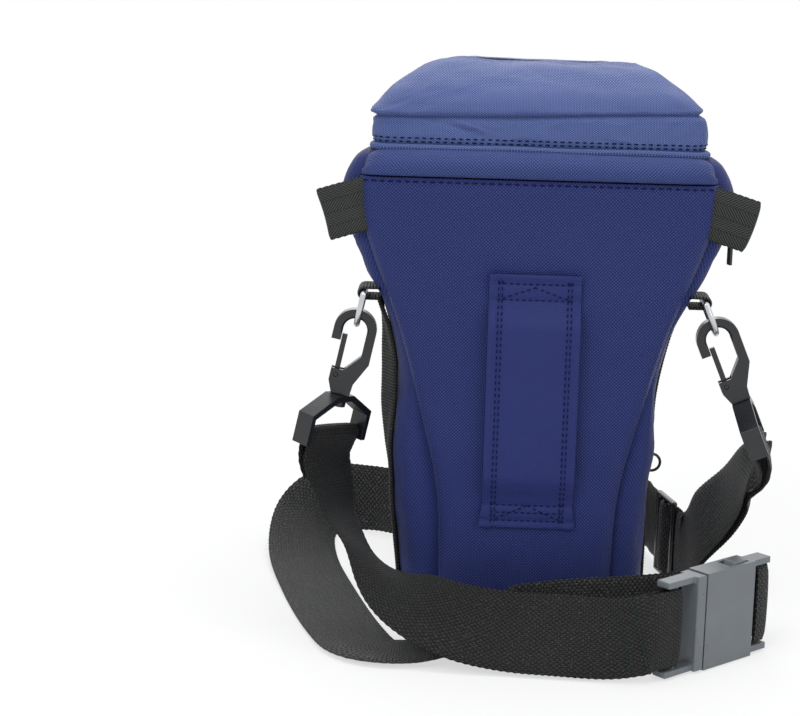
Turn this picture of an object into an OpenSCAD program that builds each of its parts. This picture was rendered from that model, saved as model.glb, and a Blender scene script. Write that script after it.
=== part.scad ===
// Holster bag for a reflex camera: tapered padded body, hinged lid with a pocket,
// belt loop, two ring-and-hook anchors and a webbing strap with a release buckle.
// +Z is up, the back panel faces -Y, and the origin is the middle of the base.

/* [Body] */
// Half width of the wrap at the base
base_half_w = 57.5; // [52:0.5:64]
// Half width of the wrap at the zip line
top_half_w = 92; // [86:0.5:98]
// Half width of the back panel at the base
panel_base_half_w = 41; // [36:0.5:46]
// Half width of the back panel at its top seam
panel_top_half_w = 83; // [76:0.5:84]
// Height of the zip line above the floor
zip_z = 211; // [205:1:220]
// Distance from the base centre to the outer face of the back panel
back_y = 54; // [50:0.5:58]
// Distance from the base centre to the front of the wrap at the base
front_base_y = 52; // [46:1:56]
// Distance from the base centre to the front of the wrap at the zip line
front_top_y = 88; // [80:1:92]
// Half width of the flat front at the base
front_base_half_w = 50; // [46:1:54]
// Half width of the flat front at the zip line
front_top_half_w = 62; // [56:1:68]
// Radius of the two front corners
front_corner_r = 34; // [24:1:40]
// Thickness of the padded wrap
wall = 6; // [4:0.5:8]
// Thickness of the padded back panel
panel_t = 7; // [5:0.5:9]
// Thickness of the base panel
base_t = 5; // [3:0.5:7]
// Thickness of the stiff board on the base
board_t = 2.5; // [1.5:0.5:4]
// Thickness of the lining
lining_t = 1.2; // [0.8:0.1:2]
// Height of the camera cradle inside
cradle_h = 70; // [50:1:90]
// Thickness of the cradle wall
cradle_t = 6; // [4:0.5:8]

/* [Lid] */
// Height of the lid from the zip line to its top
lid_h = 25; // [22:1:30]
// Half width of the lid at its top
lid_top_half_w = 80; // [74:0.5:86]
// Thickness of the lid wall
lid_wall = 4; // [3:0.5:5]
// Thickness of the lid lining
lid_lining_t = 1; // [0.6:0.1:1.5]
// How far the back panel rises above the zip line
hinge_rise = 12; // [10:1:14]
// Height of the pocket on the lid
pocket_h = 38; // [34:1:46]
// Thickness of the pocket cloth
pocket_t = 2; // [1.5:0.5:3]
// Length of the pocket's zip
pocket_zip_l = 60; // [50:1:64]

/* [Belt loop] */
// Width of the belt loop
loop_w = 43; // [38:1:50]
// Length of the belt loop
loop_l = 122; // [100:1:130]
// Height of the top end of the belt loop
loop_top_z = 180; // [160:1:185]
// Thickness of the belt loop
loop_t = 2.4; // [1.8:0.2:3.2]
// Free gap behind the belt loop
loop_gap = 5; // [4.4:0.2:7]
// Length sewn down at each end of the belt loop
loop_sewn = 12; // [8:1:16]

/* [Webbing] */
// Width of the strap
web_w = 38; // [32:1:40]
// Thickness of the strap
web_t = 1.8; // [1.2:0.1:2.2]
// Width of the side webbing
side_web_w = 12; // [8:1:16]

/* [Hooks] */
// Height of the D-ring bar above the floor
ring_z = 167; // [160:1:170]
// Inner width of a D-ring
ring_in_w = 20; // [16:1:24]
// Wire diameter of a D-ring
ring_wire = 3; // [2.4:0.2:3.6]
// Centreline radius of a hook's jaw
jaw_r = 8; // [7:0.5:9]
// Thickness of a hook
hook_t = 6; // [5:0.5:7]
// Diameter of the swivel stem
stem_d = 4.4; // [3.6:0.2:5]
// Running clearance of moving hard parts
run_gap = 0.3; // [0.2:0.05:0.4]

/* [Buckle] */
// Overall width of the buckle, across the webbing
buckle_w = 47; // [45:1:50]
// Thickness of the buckle
buckle_t = 12; // [10:0.5:14]
// Wall of the buckle's socket
buckle_wall = 2; // [1.6:0.1:2.4]

/* [Hidden] */
$fn = 48;
seam = 0.3;                         // gap between soft pieces that lie on each other
eps = 0.01;
navy = [0.13, 0.17, 0.45];
web_black = [0.05, 0.05, 0.06];
plastic = [0.12, 0.13, 0.15];
steel = [0.75, 0.76, 0.78];

wrap_back = -back_y + panel_t + seam;          // outer back face of the wrap
wrap_base = base_t + seam;
wrap_top = zip_z - 2;
hinge_z = zip_z + hinge_rise + 0.5;
lid_z0 = zip_z + 2;
lid_z1 = zip_z + lid_h;
// Shares of the flare reached at shares of the height, for the panel and for the wrap
PANEL_FLARE = [[0, 0], [0.25, 0.02], [0.37, 0.09], [0.5, 0.26], [0.66, 0.49], [0.73, 0.62],
               [0.89, 0.93], [1, 1]];
WRAP_FLARE = [[0, 0], [0.55, 0], [0.69, 0.16], [0.78, 0.39], [0.84, 0.58], [0.92, 0.8], [1, 1]];
LEVELS = [0, 0.25, 0.5, 0.6, 0.69, 0.78, 0.84, 0.92, 1];
WRAP_Z = [for (f = LEVELS) wrap_base + (wrap_top - wrap_base) * f];
panel_top = zip_z + hinge_rise;

function panel_half(z) = panel_base_half_w
    + (panel_top_half_w - panel_base_half_w) * lookup(z / panel_top, PANEL_FLARE);
function wrap_half(z) = base_half_w + (top_half_w - base_half_w) * lookup(z / zip_z, WRAP_FLARE);
function front_half(z) = front_base_half_w + (front_top_half_w - front_base_half_w) * z / zip_z;
function front_y(z) = front_base_y + (front_top_y - front_base_y) * z / zip_z;
function back_corner_r(z) = max(4, wrap_half(z) - panel_half(z));

// Right half of a plan: a back corner arc and a front corner arc joined by their tangent
function plan_half(w, wf, yb, yf, rb, rf, n = 5) =
    let (c1 = [w - rb, yb + rb], c2 = [wf - rf, yf - rf], d = c2 - c1,
         turn = atan2(d[1], d[0]) - acos((rb - rf) / norm(d)))
    concat([for (i = [0:n]) let (a = -90 + (turn + 90) * i / n) c1 + rb * [cos(a), sin(a)]],
           [for (i = [0:n]) let (a = turn + (90 - turn) * i / n) c2 + rf * [cos(a), sin(a)]]);
function plan(w, wf, yb, yf, rb, rf, z) =
    let (h = plan_half(w, wf, yb, yf, rb, rf), n = len(h))
    concat([for (p = h) [p[0], p[1], z]], [for (i = [n - 1:-1:0]) [-h[i][0], h[i][1], z]]);
function wrap_ring(z, t) = plan(wrap_half(z) - t, front_half(z) - t, wrap_back + t,
    front_y(z) - t, max(2, back_corner_r(z) - t), front_corner_r - t, z);

// Solid through a stack of rings that each run anticlockwise about the way they are stacked.
// The faces of the flipped side are split along their other diagonal.
module loft(rings, flipped = -1) {
    m = len(rings);
    n = len(rings[0]);
    sides = [for (i = [0:m - 2]) for (j = [0:n - 1])
        let (a = i * n + j, b = i * n + (j + 1) % n)
        each j == flipped ? [[a, a + n, b], [a + n, b + n, b]] : [[a, a + n, b + n], [a, b + n, b]]];
    bottom = [for (j = [1:n - 2]) [0, j, j + 1]];
    top = [for (j = [1:n - 2]) let (o = (m - 1) * n) [o, o + j + 1, o + j]];
    polyhedron([for (r = rings) each r], concat(sides, bottom, top));
}
module wrap_solid(z0, z1, t) {
    loft([for (f = LEVELS) wrap_ring(z0 + (z1 - z0) * f, t)]);
}

// ---- Body ----
function panel_ring(inset, y) =
    let (zs = [for (f = LEVELS) max(inset, min(panel_top - inset, panel_top * f))])
    concat([for (z = zs) [panel_half(z) - inset, y, z]],
           [for (i = [len(zs) - 1:-1:0]) [-panel_half(zs[i]) + inset, y, zs[i]]]);
module ring_stack(rings) {
    m = len(rings);
    n = len(rings[0]);
    half = n / 2;
    sides = [for (i = [0:m - 2]) for (j = [0:n - 1])
        let (a = i * n + j, b = i * n + (j + 1) % n) each [[a, b + n, a + n], [a, b, b + n]]];
    near = [for (j = [0:half - 2]) let (l = n - 1 - j) each [[j, j + 1, l], [j + 1, l - 1, l]]];
    far = [for (f = near) [for (i = [2, 1, 0]) f[i] + (m - 1) * n]];
    flip = concat(sides, [for (f = near) [f[2], f[1], f[0]]], [for (f = far) [f[2], f[1], f[0]]]);
    polyhedron([for (r = rings) each r], flip);
}
module panel_outline(margin) {
    edge = [for (f = LEVELS) [panel_half(panel_top * f) + margin, panel_top * f]];
    polygon(concat(edge, [[0, panel_top], [0, 0]]));
}
module back_panel() {
    crown = 2;
    color(navy) ring_stack([panel_ring(crown, -back_y), panel_ring(0, -back_y + crown),
                            panel_ring(0, -back_y + panel_t)]);
}
module body_wrap() {
    color(navy) difference() {
        wrap_solid(wrap_base, wrap_top, 0);
        wrap_solid(wrap_base - 1, wrap_top + 1, wall);
    }
}
module base_panel() {
    color(navy) loft([wrap_ring(0, 2), wrap_ring(1.5, 0), wrap_ring(base_t, 0)]);
}
module base_board() {
    color(web_black) loft([for (z = [wrap_base, wrap_base + board_t]) wrap_ring(z, wall + seam)]);
}
lining_z = wrap_base + board_t + seam;
module body_lining() {
    color([0.25, 0.25, 0.28]) difference() {
        wrap_solid(lining_z, wrap_top, wall + seam);
        wrap_solid(lining_z + lining_t, wrap_top + 1, wall + seam + lining_t);
    }
}
cradle_in = wall + 2 * seam + lining_t;
cradle_ease = 0.8;                               // it slips into the lining with this much play
module camera_cradle() {
    z0 = lining_z + lining_t + seam;
    color([0.2, 0.2, 0.22]) difference() {
        loft([for (z = [z0, z0 + cradle_h]) wrap_ring(z, cradle_in + cradle_ease)]);
        loft([for (z = [z0 + cradle_t, z0 + cradle_h + 1]) wrap_ring(z, cradle_in + cradle_t)]);
    }
}
module belt_loop() {
    z1 = loop_top_z;
    z0 = loop_top_z - loop_l;
    y0 = -back_y - seam;
    color(navy) translate([-loop_w / 2, 0, 0]) rotate([90, 0, 90]) linear_extrude(loop_w)
        polygon([[y0, z1], [y0, z1 - loop_sewn], [y0 - loop_gap, z1 - loop_sewn - 8],
                 [y0 - loop_gap, z0 + loop_sewn + 8], [y0, z0 + loop_sewn], [y0, z0],
                 [y0 - loop_t, z0], [y0 - loop_t, z0 + loop_sewn],
                 [y0 - loop_gap - loop_t, z0 + loop_sewn + 8],
                 [y0 - loop_gap - loop_t, z1 - loop_sewn - 8],
                 [y0 - loop_t, z1 - loop_sewn], [y0 - loop_t, z1]]);
}
module side_webbing() {
    y0 = wrap_back + back_corner_r(0);
    levels = [for (i = [0:5]) WRAP_Z[i]];
    color(web_black) loft([for (z = levels) let (x = wrap_half(z) + seam)
        [[x, y0, z], [x + web_t, y0, z], [x + web_t, y0 + side_web_w, z], [x, y0 + side_web_w, z]]]);
}
module side_webbing_right() side_webbing();
module side_webbing_left() mirror([1, 0, 0]) side_webbing();

// ---- Ring anchors: everything hangs on one tilted line, side is 1 right and -1 left ----
tilt_left = 12;
tilt_right = 23;
function tilt_of(side) = side > 0 ? tilt_right : tilt_left;
ring_reach = 5 + (ring_in_w + ring_wire) / 2;    // ring bar to the far wire
jaw_z = 32;                                      // jaw centre above the swivel
jaw_w = 4.5;                                     // width of the jaw's section
jaw_play = 1.2;
jaw_edge = 1;                                    // chamfer that keeps the ring clear of the jaw
wire_z = jaw_z + jaw_r - jaw_w / 2 - ring_wire / 2 - jaw_play;
bar_z = wire_z + ring_reach;
anchor_y = wrap_back + 9;
tab_out = 8;                                     // ring bar to the side of the wrap
anchor_x = wrap_half(ring_z) + tab_out;
function anchor_up(side) = [-side * sin(tilt_of(side)), 0, cos(tilt_of(side))];
function anchor_at(side) = [side * anchor_x, anchor_y, ring_z] - bar_z * anchor_up(side);
module at_anchor(side) {
    translate(anchor_at(side)) rotate([0, -side * tilt_of(side), 0]) children();
}
module tube(r_in, r_out, l, sides = 48) {
    difference() {
        cylinder(r = r_out, h = l, center = true, $fn = sides);
        cylinder(r = r_in, h = l + 2, center = true, $fn = sides);
    }
}
tab_t = 1.6;
tab_hole_r = ring_wire / 2 + run_gap;
module ring_tab() {
    inner = -tab_out + 3 * seam;
    color(web_black) translate([anchor_x, anchor_y, ring_z]) {
        rotate([90, 0, 0]) tube(tab_hole_r, tab_hole_r + tab_t, ring_in_w - 1);
        difference() {
            translate([inner, -(ring_in_w - 1) / 2, -tab_t])
                cube([-inner - tab_hole_r, ring_in_w - 1, 2 * tab_t]);
            rotate([90, 0, 0]) cylinder(r = tab_hole_r, h = ring_in_w + 2, center = true);
        }
    }
}
module ring_tab_right() ring_tab();
module ring_tab_left() mirror([1, 0, 0]) ring_tab();

module d_ring(side) {
    half = (ring_in_w + ring_wire) / 2;
    color(steel) at_anchor(side) {
        translate([0, 0, bar_z]) {
            rotate([90, 0, 0]) cylinder(d = ring_wire, h = 2 * half, center = true);
            for (s = [-1, 1]) translate([0, s * half, -(ring_reach - half)])
                cylinder(d = ring_wire, h = ring_reach - half);
            for (s = [-1, 1]) translate([0, s * half, 0]) sphere(d = ring_wire);
            translate([0, 0, -(ring_reach - half)]) rotate([-90, 0, 90])
                rotate_extrude(angle = 180) translate([half, 0]) circle(d = ring_wire);
        }
    }
}
module d_ring_left() d_ring(-1);
module d_ring_right() d_ring(1);

gate_pin = [-4.2, 9];                            // pivot of the gate, across and up
gate_w = 2.6;
pin_d = 2;
jaw_in = jaw_r - jaw_w / 2;
jaw_out = jaw_r + jaw_w / 2;
nose_z = 26;
gate_slot = [-9, 11, 7.6];                       // slot for the gate: start, width, height
module hook(side) {
    color(plastic) at_anchor(side) difference() {
        union() {
            translate([0, 0, jaw_z]) rotate([90, 0, 0]) rotate_extrude(angle = 180)
                translate([jaw_r, 0]) square([jaw_w, hook_t], center = true);
            translate([-jaw_out, -hook_t / 2, nose_z]) cube([jaw_w, hook_t, jaw_z - nose_z]);
            rotate([90, 0, 0]) linear_extrude(hook_t, center = true)
                polygon([[jaw_in, jaw_z], [jaw_in, 20], [-1, 12], [-7, 12], [-7, 6], [-4.5, 0],
                         [4.5, 0], [5, 6], [jaw_out, 17], [jaw_out, jaw_z]]);
            translate([0, 0, -stem_l]) cylinder(d = stem_d, h = stem_l);
            translate([0, 0, -stem_l - head_t]) cylinder(d = head_d, h = head_t);
        }
        translate([gate_slot[0], -gate_w / 2 - run_gap, gate_pin[1] - gate_slot[2] / 2])
            cube([gate_slot[1], gate_w + 2 * run_gap, gate_slot[2]]);
        translate([gate_pin[0], 0, gate_pin[1]]) rotate([90, 0, 0])
            cylinder(d = pin_d + run_gap, h = hook_t + 2, center = true);
        for (turn = [0, 180]) translate([0, 0, jaw_z]) rotate([90, 0, turn])
            translate([0, 0, hook_t / 2 - jaw_edge])
                cylinder(r1 = jaw_in, r2 = jaw_in + 2 * jaw_edge, h = 2 * jaw_edge);
    }
}
module hook_left() hook(-1);
module hook_right() hook(1);
module gate(side) {
    outer = -jaw_in + run_gap;
    color(plastic) at_anchor(side) {
        translate([gate_pin[0], 0, gate_pin[1]]) rotate([90, 0, 0]) {
            cylinder(d = pin_d, h = hook_t, center = true);
            cylinder(d = 4.4, h = gate_w, center = true);
        }
        translate([outer, -gate_w / 2, gate_pin[1]]) cube([2.5, gate_w, nose_z + 3 - gate_pin[1]]);
    }
}
module gate_left() gate(-1);
module gate_right() gate(1);

plate_t = 3;                                     // swivel plate that the stem turns in
stem_l = plate_t + 2 * run_gap;
head_t = 2.5;
head_d = stem_d + 3;
base_in = web_w + 2;                             // free width between the base's arms
arm_t = 3;
arm_w = 9;
web_bar_z = -20;
web_bar_r = 2;
web_ring_r = web_bar_r + run_gap;
turn_left = 55;                                  // how far each base is turned about its stem
turn_right = 85;
function turn_of(side) = side > 0 ? turn_right : turn_left;
module swivel_base(side) {
    o = base_in / 2 + arm_t;
    color(plastic) at_anchor(side) rotate([0, 0, turn_of(side)]) difference() {
        union() {
            rotate([90, 0, 0]) linear_extrude(arm_w, center = true) difference() {
                polygon([[-6, -run_gap], [6, -run_gap], [o, -9], [o, web_bar_z - 4],
                         [-o, web_bar_z - 4], [-o, -9]]);
                polygon([[-5, -run_gap - plate_t], [5, -run_gap - plate_t], [o - arm_t, -11],
                         [o - arm_t, web_bar_z - 5], [-o + arm_t, web_bar_z - 5], [-o + arm_t, -11]]);
            }
            translate([0, 0, web_bar_z]) rotate([0, 90, 0])
                cylinder(r = web_bar_r, h = 2 * o, center = true);
        }
        cylinder(d = stem_d + 2 * run_gap, h = 3 * stem_l, center = true);
    }
}
module swivel_base_left() swivel_base(-1);
module swivel_base_right() swivel_base(1);

// ---- Small things on the body ----
zip_t = 1.4;                                     // thickness of each zip tape
zip_h = 1.5;
zip_in = 1.5;                                    // zip line behind the outer face
zip_split = 0.7;                                 // half the gap between the two tapes
zip_end_y = wrap_back + 8;                       // both zip ends, near the back corners
zip_corner_r = 9;                                // radius of the zip line's back corners
module zip_band(z, y_start) {
    difference() {
        loft([for (h = [z, z + zip_h]) plan(top_half_w - zip_in, front_top_half_w - zip_in,
            wrap_back + zip_in, front_top_y - zip_in, zip_corner_r - zip_in,
            front_corner_r - zip_in, h)]);
        loft([for (h = [z - 1, z + zip_h + 1]) let (t = zip_in + zip_t)
            plan(top_half_w - t, front_top_half_w - t, wrap_back + t, front_top_y - t,
                 zip_corner_r - t, front_corner_r - t, h)]);
        translate([-200, -200, z - 5]) cube([400, 200 + y_start, 20]);
    }
}
module body_zip_tape() color(web_black) zip_band(zip_z - zip_split - zip_h + 0.2, zip_end_y);
// A folded tab of twill tape, sewn into the side seam of the back panel near its top corner
module pull_tab() {
    w = 25;
    out = 22.3;
    root = 5.2;                                  // how far the tab runs in beside the panel
    turn = 17;
    y0 = wrap_back - 2 * seam - 2 * tab_t;
    color(web_black) difference() {
        translate([panel_top_half_w - root, y0, zip_z]) rotate([0, turn, 0]) translate([0, 0, -w / 2]) {
            cube([out, tab_t, w]);
            translate([0, tab_t + seam, 0]) cube([out, tab_t, w]);
            translate([out, tab_t + seam / 2, 0]) cylinder(r = tab_t + seam / 2, h = w);
        }
        rotate([90, 0, 0]) linear_extrude(2 * back_y) panel_outline(seam);
    }
}
module pull_tab_right() pull_tab();
module pull_tab_left() mirror([1, 0, 0]) pull_tab();
small_tab_at = [base_half_w + seam, 0, 83];
small_tab_size = [3.5, 10, 14];
small_ring_r = 4.3;
small_wire = 1.4;
module small_tab() {
    color(web_black) translate(small_tab_at) translate([0, -small_tab_size[1] / 2, 0]) cube(small_tab_size);
}
module small_wire_loop() {
    color(web_black) translate(small_tab_at + [small_ring_r + small_wire / 2 + 0.2, 0,
        -small_ring_r - small_wire / 2 - 0.2]) rotate([90, 0, 0])
        rotate_extrude() translate([small_ring_r, 0]) circle(d = small_wire);
}

// ---- Lid ----
LID_LEVELS = [0, 0.35, 0.7, 1];
pocket_z = lid_z1 + seam;
function lid_ring(z, t) = let (f = (z - zip_z) / lid_h, g = f * f)
    plan(top_half_w - t - (top_half_w - lid_top_half_w) * g,
         front_top_half_w - t - 6 * g, wrap_back + t + 0.1, front_top_y - t - 6 * g,
         max(2, zip_corner_r - t), front_corner_r - t, z);
module lid_solid(z0, z1, t) loft([for (f = LID_LEVELS) lid_ring(z0 + (z1 - z0) * f, t)]);
module lid_notches() {
    translate([-200, -100, zip_z - 5]) cube([400, 100 + zip_end_y + 12, 11]);
}
module lid_shell() {
    color(navy) difference() {
        lid_solid(lid_z0, lid_z1, 0);
        lid_solid(lid_z0 - 1, lid_z1 - lid_wall, lid_wall);
        lid_notches();
    }
}
module lid_lining() {
    color([0.25, 0.25, 0.28]) difference() {
        lid_solid(lid_z0 + 1, lid_z1 - lid_wall - seam, lid_wall + seam);
        lid_solid(lid_z0, lid_z1 - lid_wall - seam - lid_lining_t, lid_wall + seam + lid_lining_t);
        lid_notches();
    }
}
module lid_zip_tape() color(web_black) zip_band(zip_z + zip_split - 0.2, zip_end_y + 12);
module lid_back_fold() {
    y = wrap_back - seam;
    color(navy) rotate([90, 0, 90]) linear_extrude(2 * lid_top_half_w, center = true)
        polygon([[y, hinge_z + seam], [y, lid_z1], [y - 3, lid_z1], [-back_y + 1, hinge_z + 8],
                 [-back_y, hinge_z + 4], [-back_y + 0.5, hinge_z + seam]]);
}
// Pocket rings: height share, half width, back edge and front edge taken off the lid's top plan
POCKET = [[0, 2, 0, 3], [0.14, 0.5, 0, 2], [0.42, 1.5, 1, 5], [0.56, 3.5, 4, 9], [0.7, 9, 14, 18],
          [0.84, 17, 28, 30], [0.95, 25, 42, 42], [1, 33, 52, 50]];
pocket_front_y = front_top_y - 8;
function pocket_ring(p, t) = let (yb = wrap_back + 1 + p[2] + t, yf = pocket_front_y - p[3] - t)
    plan(lid_top_half_w - p[1] - t, 58 - p[1] * 0.6 - t, yb, yf, min(8, (yf - yb) * 0.3),
         min(16, (yf - yb) * 0.4), pocket_z + (pocket_h - t) * p[0]);
module lid_pocket() {
    color(navy) difference() {
        loft([for (p = POCKET) pocket_ring(p, 0)]);
        translate([0, 0, -eps]) loft([for (p = POCKET) pocket_ring(p, pocket_t)]);
        pocket_mouth();
    }
}
// The zip of the pocket lies across the pocket's front slope
zip_low = POCKET[4];
zip_high = POCKET[5];
pocket_zip_tilt = atan2(pocket_h * (zip_high[0] - zip_low[0]), zip_high[3] - zip_low[3]);
pocket_zip_w = 9;
pocket_zip_at = [0, pocket_front_y - (zip_low[3] + zip_high[3]) / 2,
                 pocket_z + pocket_h * (zip_low[0] + zip_high[0]) / 2 - 1];
module pocket_mouth() {
    translate(pocket_zip_at) rotate([-pocket_zip_tilt, 0, 0])
        cube([pocket_zip_l, pocket_zip_w, 14], center = true);
}
module pocket_cord() {
    cord_h = 2.6;
    color(navy) difference() {
        loft([for (h = [0, cord_h]) pocket_ring([h / pocket_h, -1.5, -2, 0], 0)]);
        loft([for (h = [-1, cord_h + 1]) pocket_ring([h / pocket_h, 0.9, -seam, 2.2], 0)]);
    }
}
module pocket_zip_tape() {
    color(web_black) translate(pocket_zip_at) rotate([-pocket_zip_tilt, 0, 0]) difference() {
        translate([-pocket_zip_l / 2 + seam, -pocket_zip_w / 2 + seam, -0.6])
            cube([pocket_zip_l - 2 * seam, pocket_zip_w - 2 * seam, 1.2]);
        translate([-pocket_zip_l / 2 + 4, -0.7, -2]) cube([pocket_zip_l - 8, 1.4, 4]);
    }
}

// ---- Sliders and pulls ----
slider_l = 9;
plate_w = 1.2;
// The straight side of the zip line, from the end of the back corner's arc
ZIP_HALF = plan_half(top_half_w, front_top_half_w, wrap_back, front_top_y, zip_corner_r,
    front_corner_r);
zip_side = unit(ZIP_HALF[6] - ZIP_HALF[5]);
zip_slope = atan2(-zip_side[0], zip_side[1]);
zip_slider_at = ZIP_HALF[5] + zip_side * seam;
module at_zip() {
    translate([zip_slider_at[0], zip_slider_at[1], zip_z]) rotate([0, 0, zip_slope]) children();
}
pull_l = 27;
pull_t = 1.4;
pull_pin_x = 2.1;
pull_pin_d = 1.2;
module zip_slider() {
    inner = -zip_in - zip_t - seam;
    outer = -zip_in + seam;
    plate_h = 2 * (2 - seam);                    // it runs between the wrap and the lid
    color(plastic) at_zip() {
        for (x = [outer, inner - plate_w]) translate([x, 0, -plate_h / 2])
            cube([plate_w, slider_l, plate_h]);
        translate([inner - plate_w / 2, 0, -0.35]) cube([outer - inner + plate_w, 2, 0.7]);
        for (y = [1.4, slider_l - 2.4]) translate([outer + plate_w / 2, y, -plate_h / 2])
            cube([pull_pin_x + 1.8, 1, 2.3]);
        translate([pull_pin_x, 1.4, -0.7]) rotate([-90, 0, 0]) cylinder(d = pull_pin_d, h = slider_l - 2.8);
    }
}
module pull_blade(w, l, t, eye_d) {
    difference() {
        union() {
            translate([0, -w / 2, -l]) cube([t, w, l]);
            translate([t / 2, w / 2, 0]) rotate([90, 0, 0]) cylinder(d = eye_d + 1.6, h = w);
        }
        translate([t / 2, w, 0]) rotate([90, 0, 0]) cylinder(d = eye_d, h = 2 * w);
        if (w > 3) translate([-t, -w / 2 + 1.2, -l + 2]) cube([3 * t, w - 2.4, l - 6]);
    }
}
module zip_pull() {
    w = slider_l - 4.8 - 2 * run_gap;
    color(plastic) at_zip() translate([pull_pin_x - pull_t / 2, slider_l / 2, -0.7])
        pull_blade(w, pull_l, pull_t, pull_pin_d + 2 * run_gap);
}
module at_pocket_zip() {
    translate(pocket_zip_at) rotate([-pocket_zip_tilt, 0, 0])
        translate([-pocket_zip_l / 2 + 10, 0, 0]) children();
}
pocket_pin_z = 4.2;
module pocket_zip_slider() {
    color(plastic) at_pocket_zip() {
        translate([-4, -3, 0.6 + seam]) cube([8, 6, plate_w]);
        translate([-4, -3, -0.6 - seam - plate_w]) cube([8, 6, plate_w]);
        translate([-1, -0.45, -1]) cube([2, 0.9, 2]);
        for (y = [-2.6, 1.6]) translate([-1.5, y, 1.5]) cube([3, 1, pocket_pin_z]);
        translate([0, 2, pocket_pin_z]) rotate([90, 0, 0]) cylinder(d = pull_pin_d, h = 4);
    }
}
module pocket_zip_pull() {
    color(plastic) at_pocket_zip() translate([0, 0, pocket_pin_z]) rotate([0, -90, 0])
        translate([-pull_t / 2, 0, 0]) pull_blade(2.6, 20, pull_t, pull_pin_d + 2 * run_gap);
}

// ---- Buckle: x runs from the male half to the female half, z is across the webbing ----
buckle_at = [62, -98, buckle_w / 2 + 0.5];
buckle_turn = 43;
module at_buckle() { translate(buckle_at) rotate([0, 0, buckle_turn]) children(); }
function buckle_pt(x, y, z = 0) = buckle_at + [x * cos(buckle_turn) - y * sin(buckle_turn),
    x * sin(buckle_turn) + y * cos(buckle_turn), z];
rail_t = 3;
rail_z = web_w / 2 + 1;
male_bar_x = 8;
beam_x = 18;
beam_l = 6;
mouth_x = beam_x + beam_l + 0.5;
socket_l = 34;
socket_x1 = mouth_x + socket_l;
female_bar_x = socket_x1 + 11;
prong_z = 17;
hub_x = mouth_x + 2.1;
knob_x = 43;
knob_l = 13;
module male_buckle_rails(x0, x1) {
    for (s = [-1, 1]) translate([x0, -4, s > 0 ? rail_z : -rail_z - rail_t])
        cube([x1 - x0, 8, rail_t]);
}
module buckle_male() {
    color(plastic) at_buckle() {
        male_buckle_rails(0, beam_x);
        translate([male_bar_x, 0, 0]) cylinder(r = web_bar_r, h = 2 * rail_z, center = true);
        translate([beam_x, -buckle_t / 2, -rail_z - rail_t])
            cube([beam_l, buckle_t, 2 * (rail_z + rail_t)]);
        translate([beam_x + beam_l, -2.5, -7]) cube([20, 5, 14]);
    }
}
module prong(s) {
    color(plastic) at_buckle() {
        translate([hub_x, 0, s * prong_z]) rotate([90, 0, 0]) cylinder(r = 1.8, h = 7, center = true);
        rotate([90, 0, 0]) linear_extrude(7, center = true) polygon([[hub_x, s * (prong_z - 1.5)],
            [knob_x + knob_l - 1, s * (prong_z - 1.5)], [knob_x + knob_l - 1, s * (buckle_w / 2 + 0.8)],
            [knob_x + 3, s * (buckle_w / 2 + 0.8)], [knob_x + 1, s * (prong_z + 1.5)],
            [hub_x, s * (prong_z + 1.5)]]);
    }
}
module prong_upper() prong(1);
module prong_lower() prong(-1);
module buckle_female() {
    h = buckle_w;
    color(plastic) at_buckle() difference() {
        union() {
            translate([mouth_x, -buckle_t / 2, -h / 2]) cube([socket_l, buckle_t, h]);
            translate([socket_x1 - 1, 0, 0]) male_buckle_rails(0, female_bar_x - socket_x1 + 3);
            translate([female_bar_x, 0, 0]) cylinder(r = web_bar_r, h = 2 * rail_z, center = true);
        }
        translate([mouth_x - 1, -buckle_t / 2 + buckle_wall, -h / 2 + buckle_wall])
            cube([socket_l - 2, buckle_t - 2 * buckle_wall, h - 2 * buckle_wall]);
        translate([knob_x - 0.6, -buckle_t / 2 + buckle_wall, -h])
            cube([knob_l + 0.6, buckle_t - 2 * buckle_wall, 2 * h]);
    }
}

// ---- Strap slider: x along the strap, y across its thickness, z across its width ----
slider_at = [78, 60, web_w / 2 + 3];
slider_turn = 104;                               // the rear stretch leaves it this way
slider_bar = 3.5;
slider_gap = 7.75;
module at_slider() { translate(slider_at) rotate([0, 0, slider_turn]) children(); }
function slider_pt(x, y, z = 0) = slider_at + [x * cos(slider_turn) - y * sin(slider_turn),
    x * sin(slider_turn) + y * cos(slider_turn), z];
hump = 2.7;                                      // webbing's distance from the slider's plane
module strap_slider() {
    half = slider_bar * 1.5 + slider_gap;
    color(plastic) at_slider() rotate([90, 0, 0]) linear_extrude(3, center = true) difference() {
        square([2 * half, web_w + 6], center = true);
        for (s = [-1, 1]) translate([s * (slider_bar + slider_gap) / 2, 0])
            square([slider_gap, web_w + 0.6], center = true);
    }
}
// The rear stretch's webbing where it rises over the slider's middle bar
module strap_bridge() {
    a = 0.31;
    t = web_t / 2;
    side = [[16, -hump - t], [9.3 - a, -hump - t], [2.3 - a, hump - t]];
    over = [[2.3 + a, hump + t], [9.3 + a, -hump + t], [16, -hump + t]];
    color(web_black) at_slider() linear_extrude(web_w, center = true) polygon(concat(side,
        [for (i = [2:-1:0]) [-side[i][0], side[i][1]]], [for (i = [2:-1:0]) [-over[i][0], over[i][1]]],
        over));
}

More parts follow.
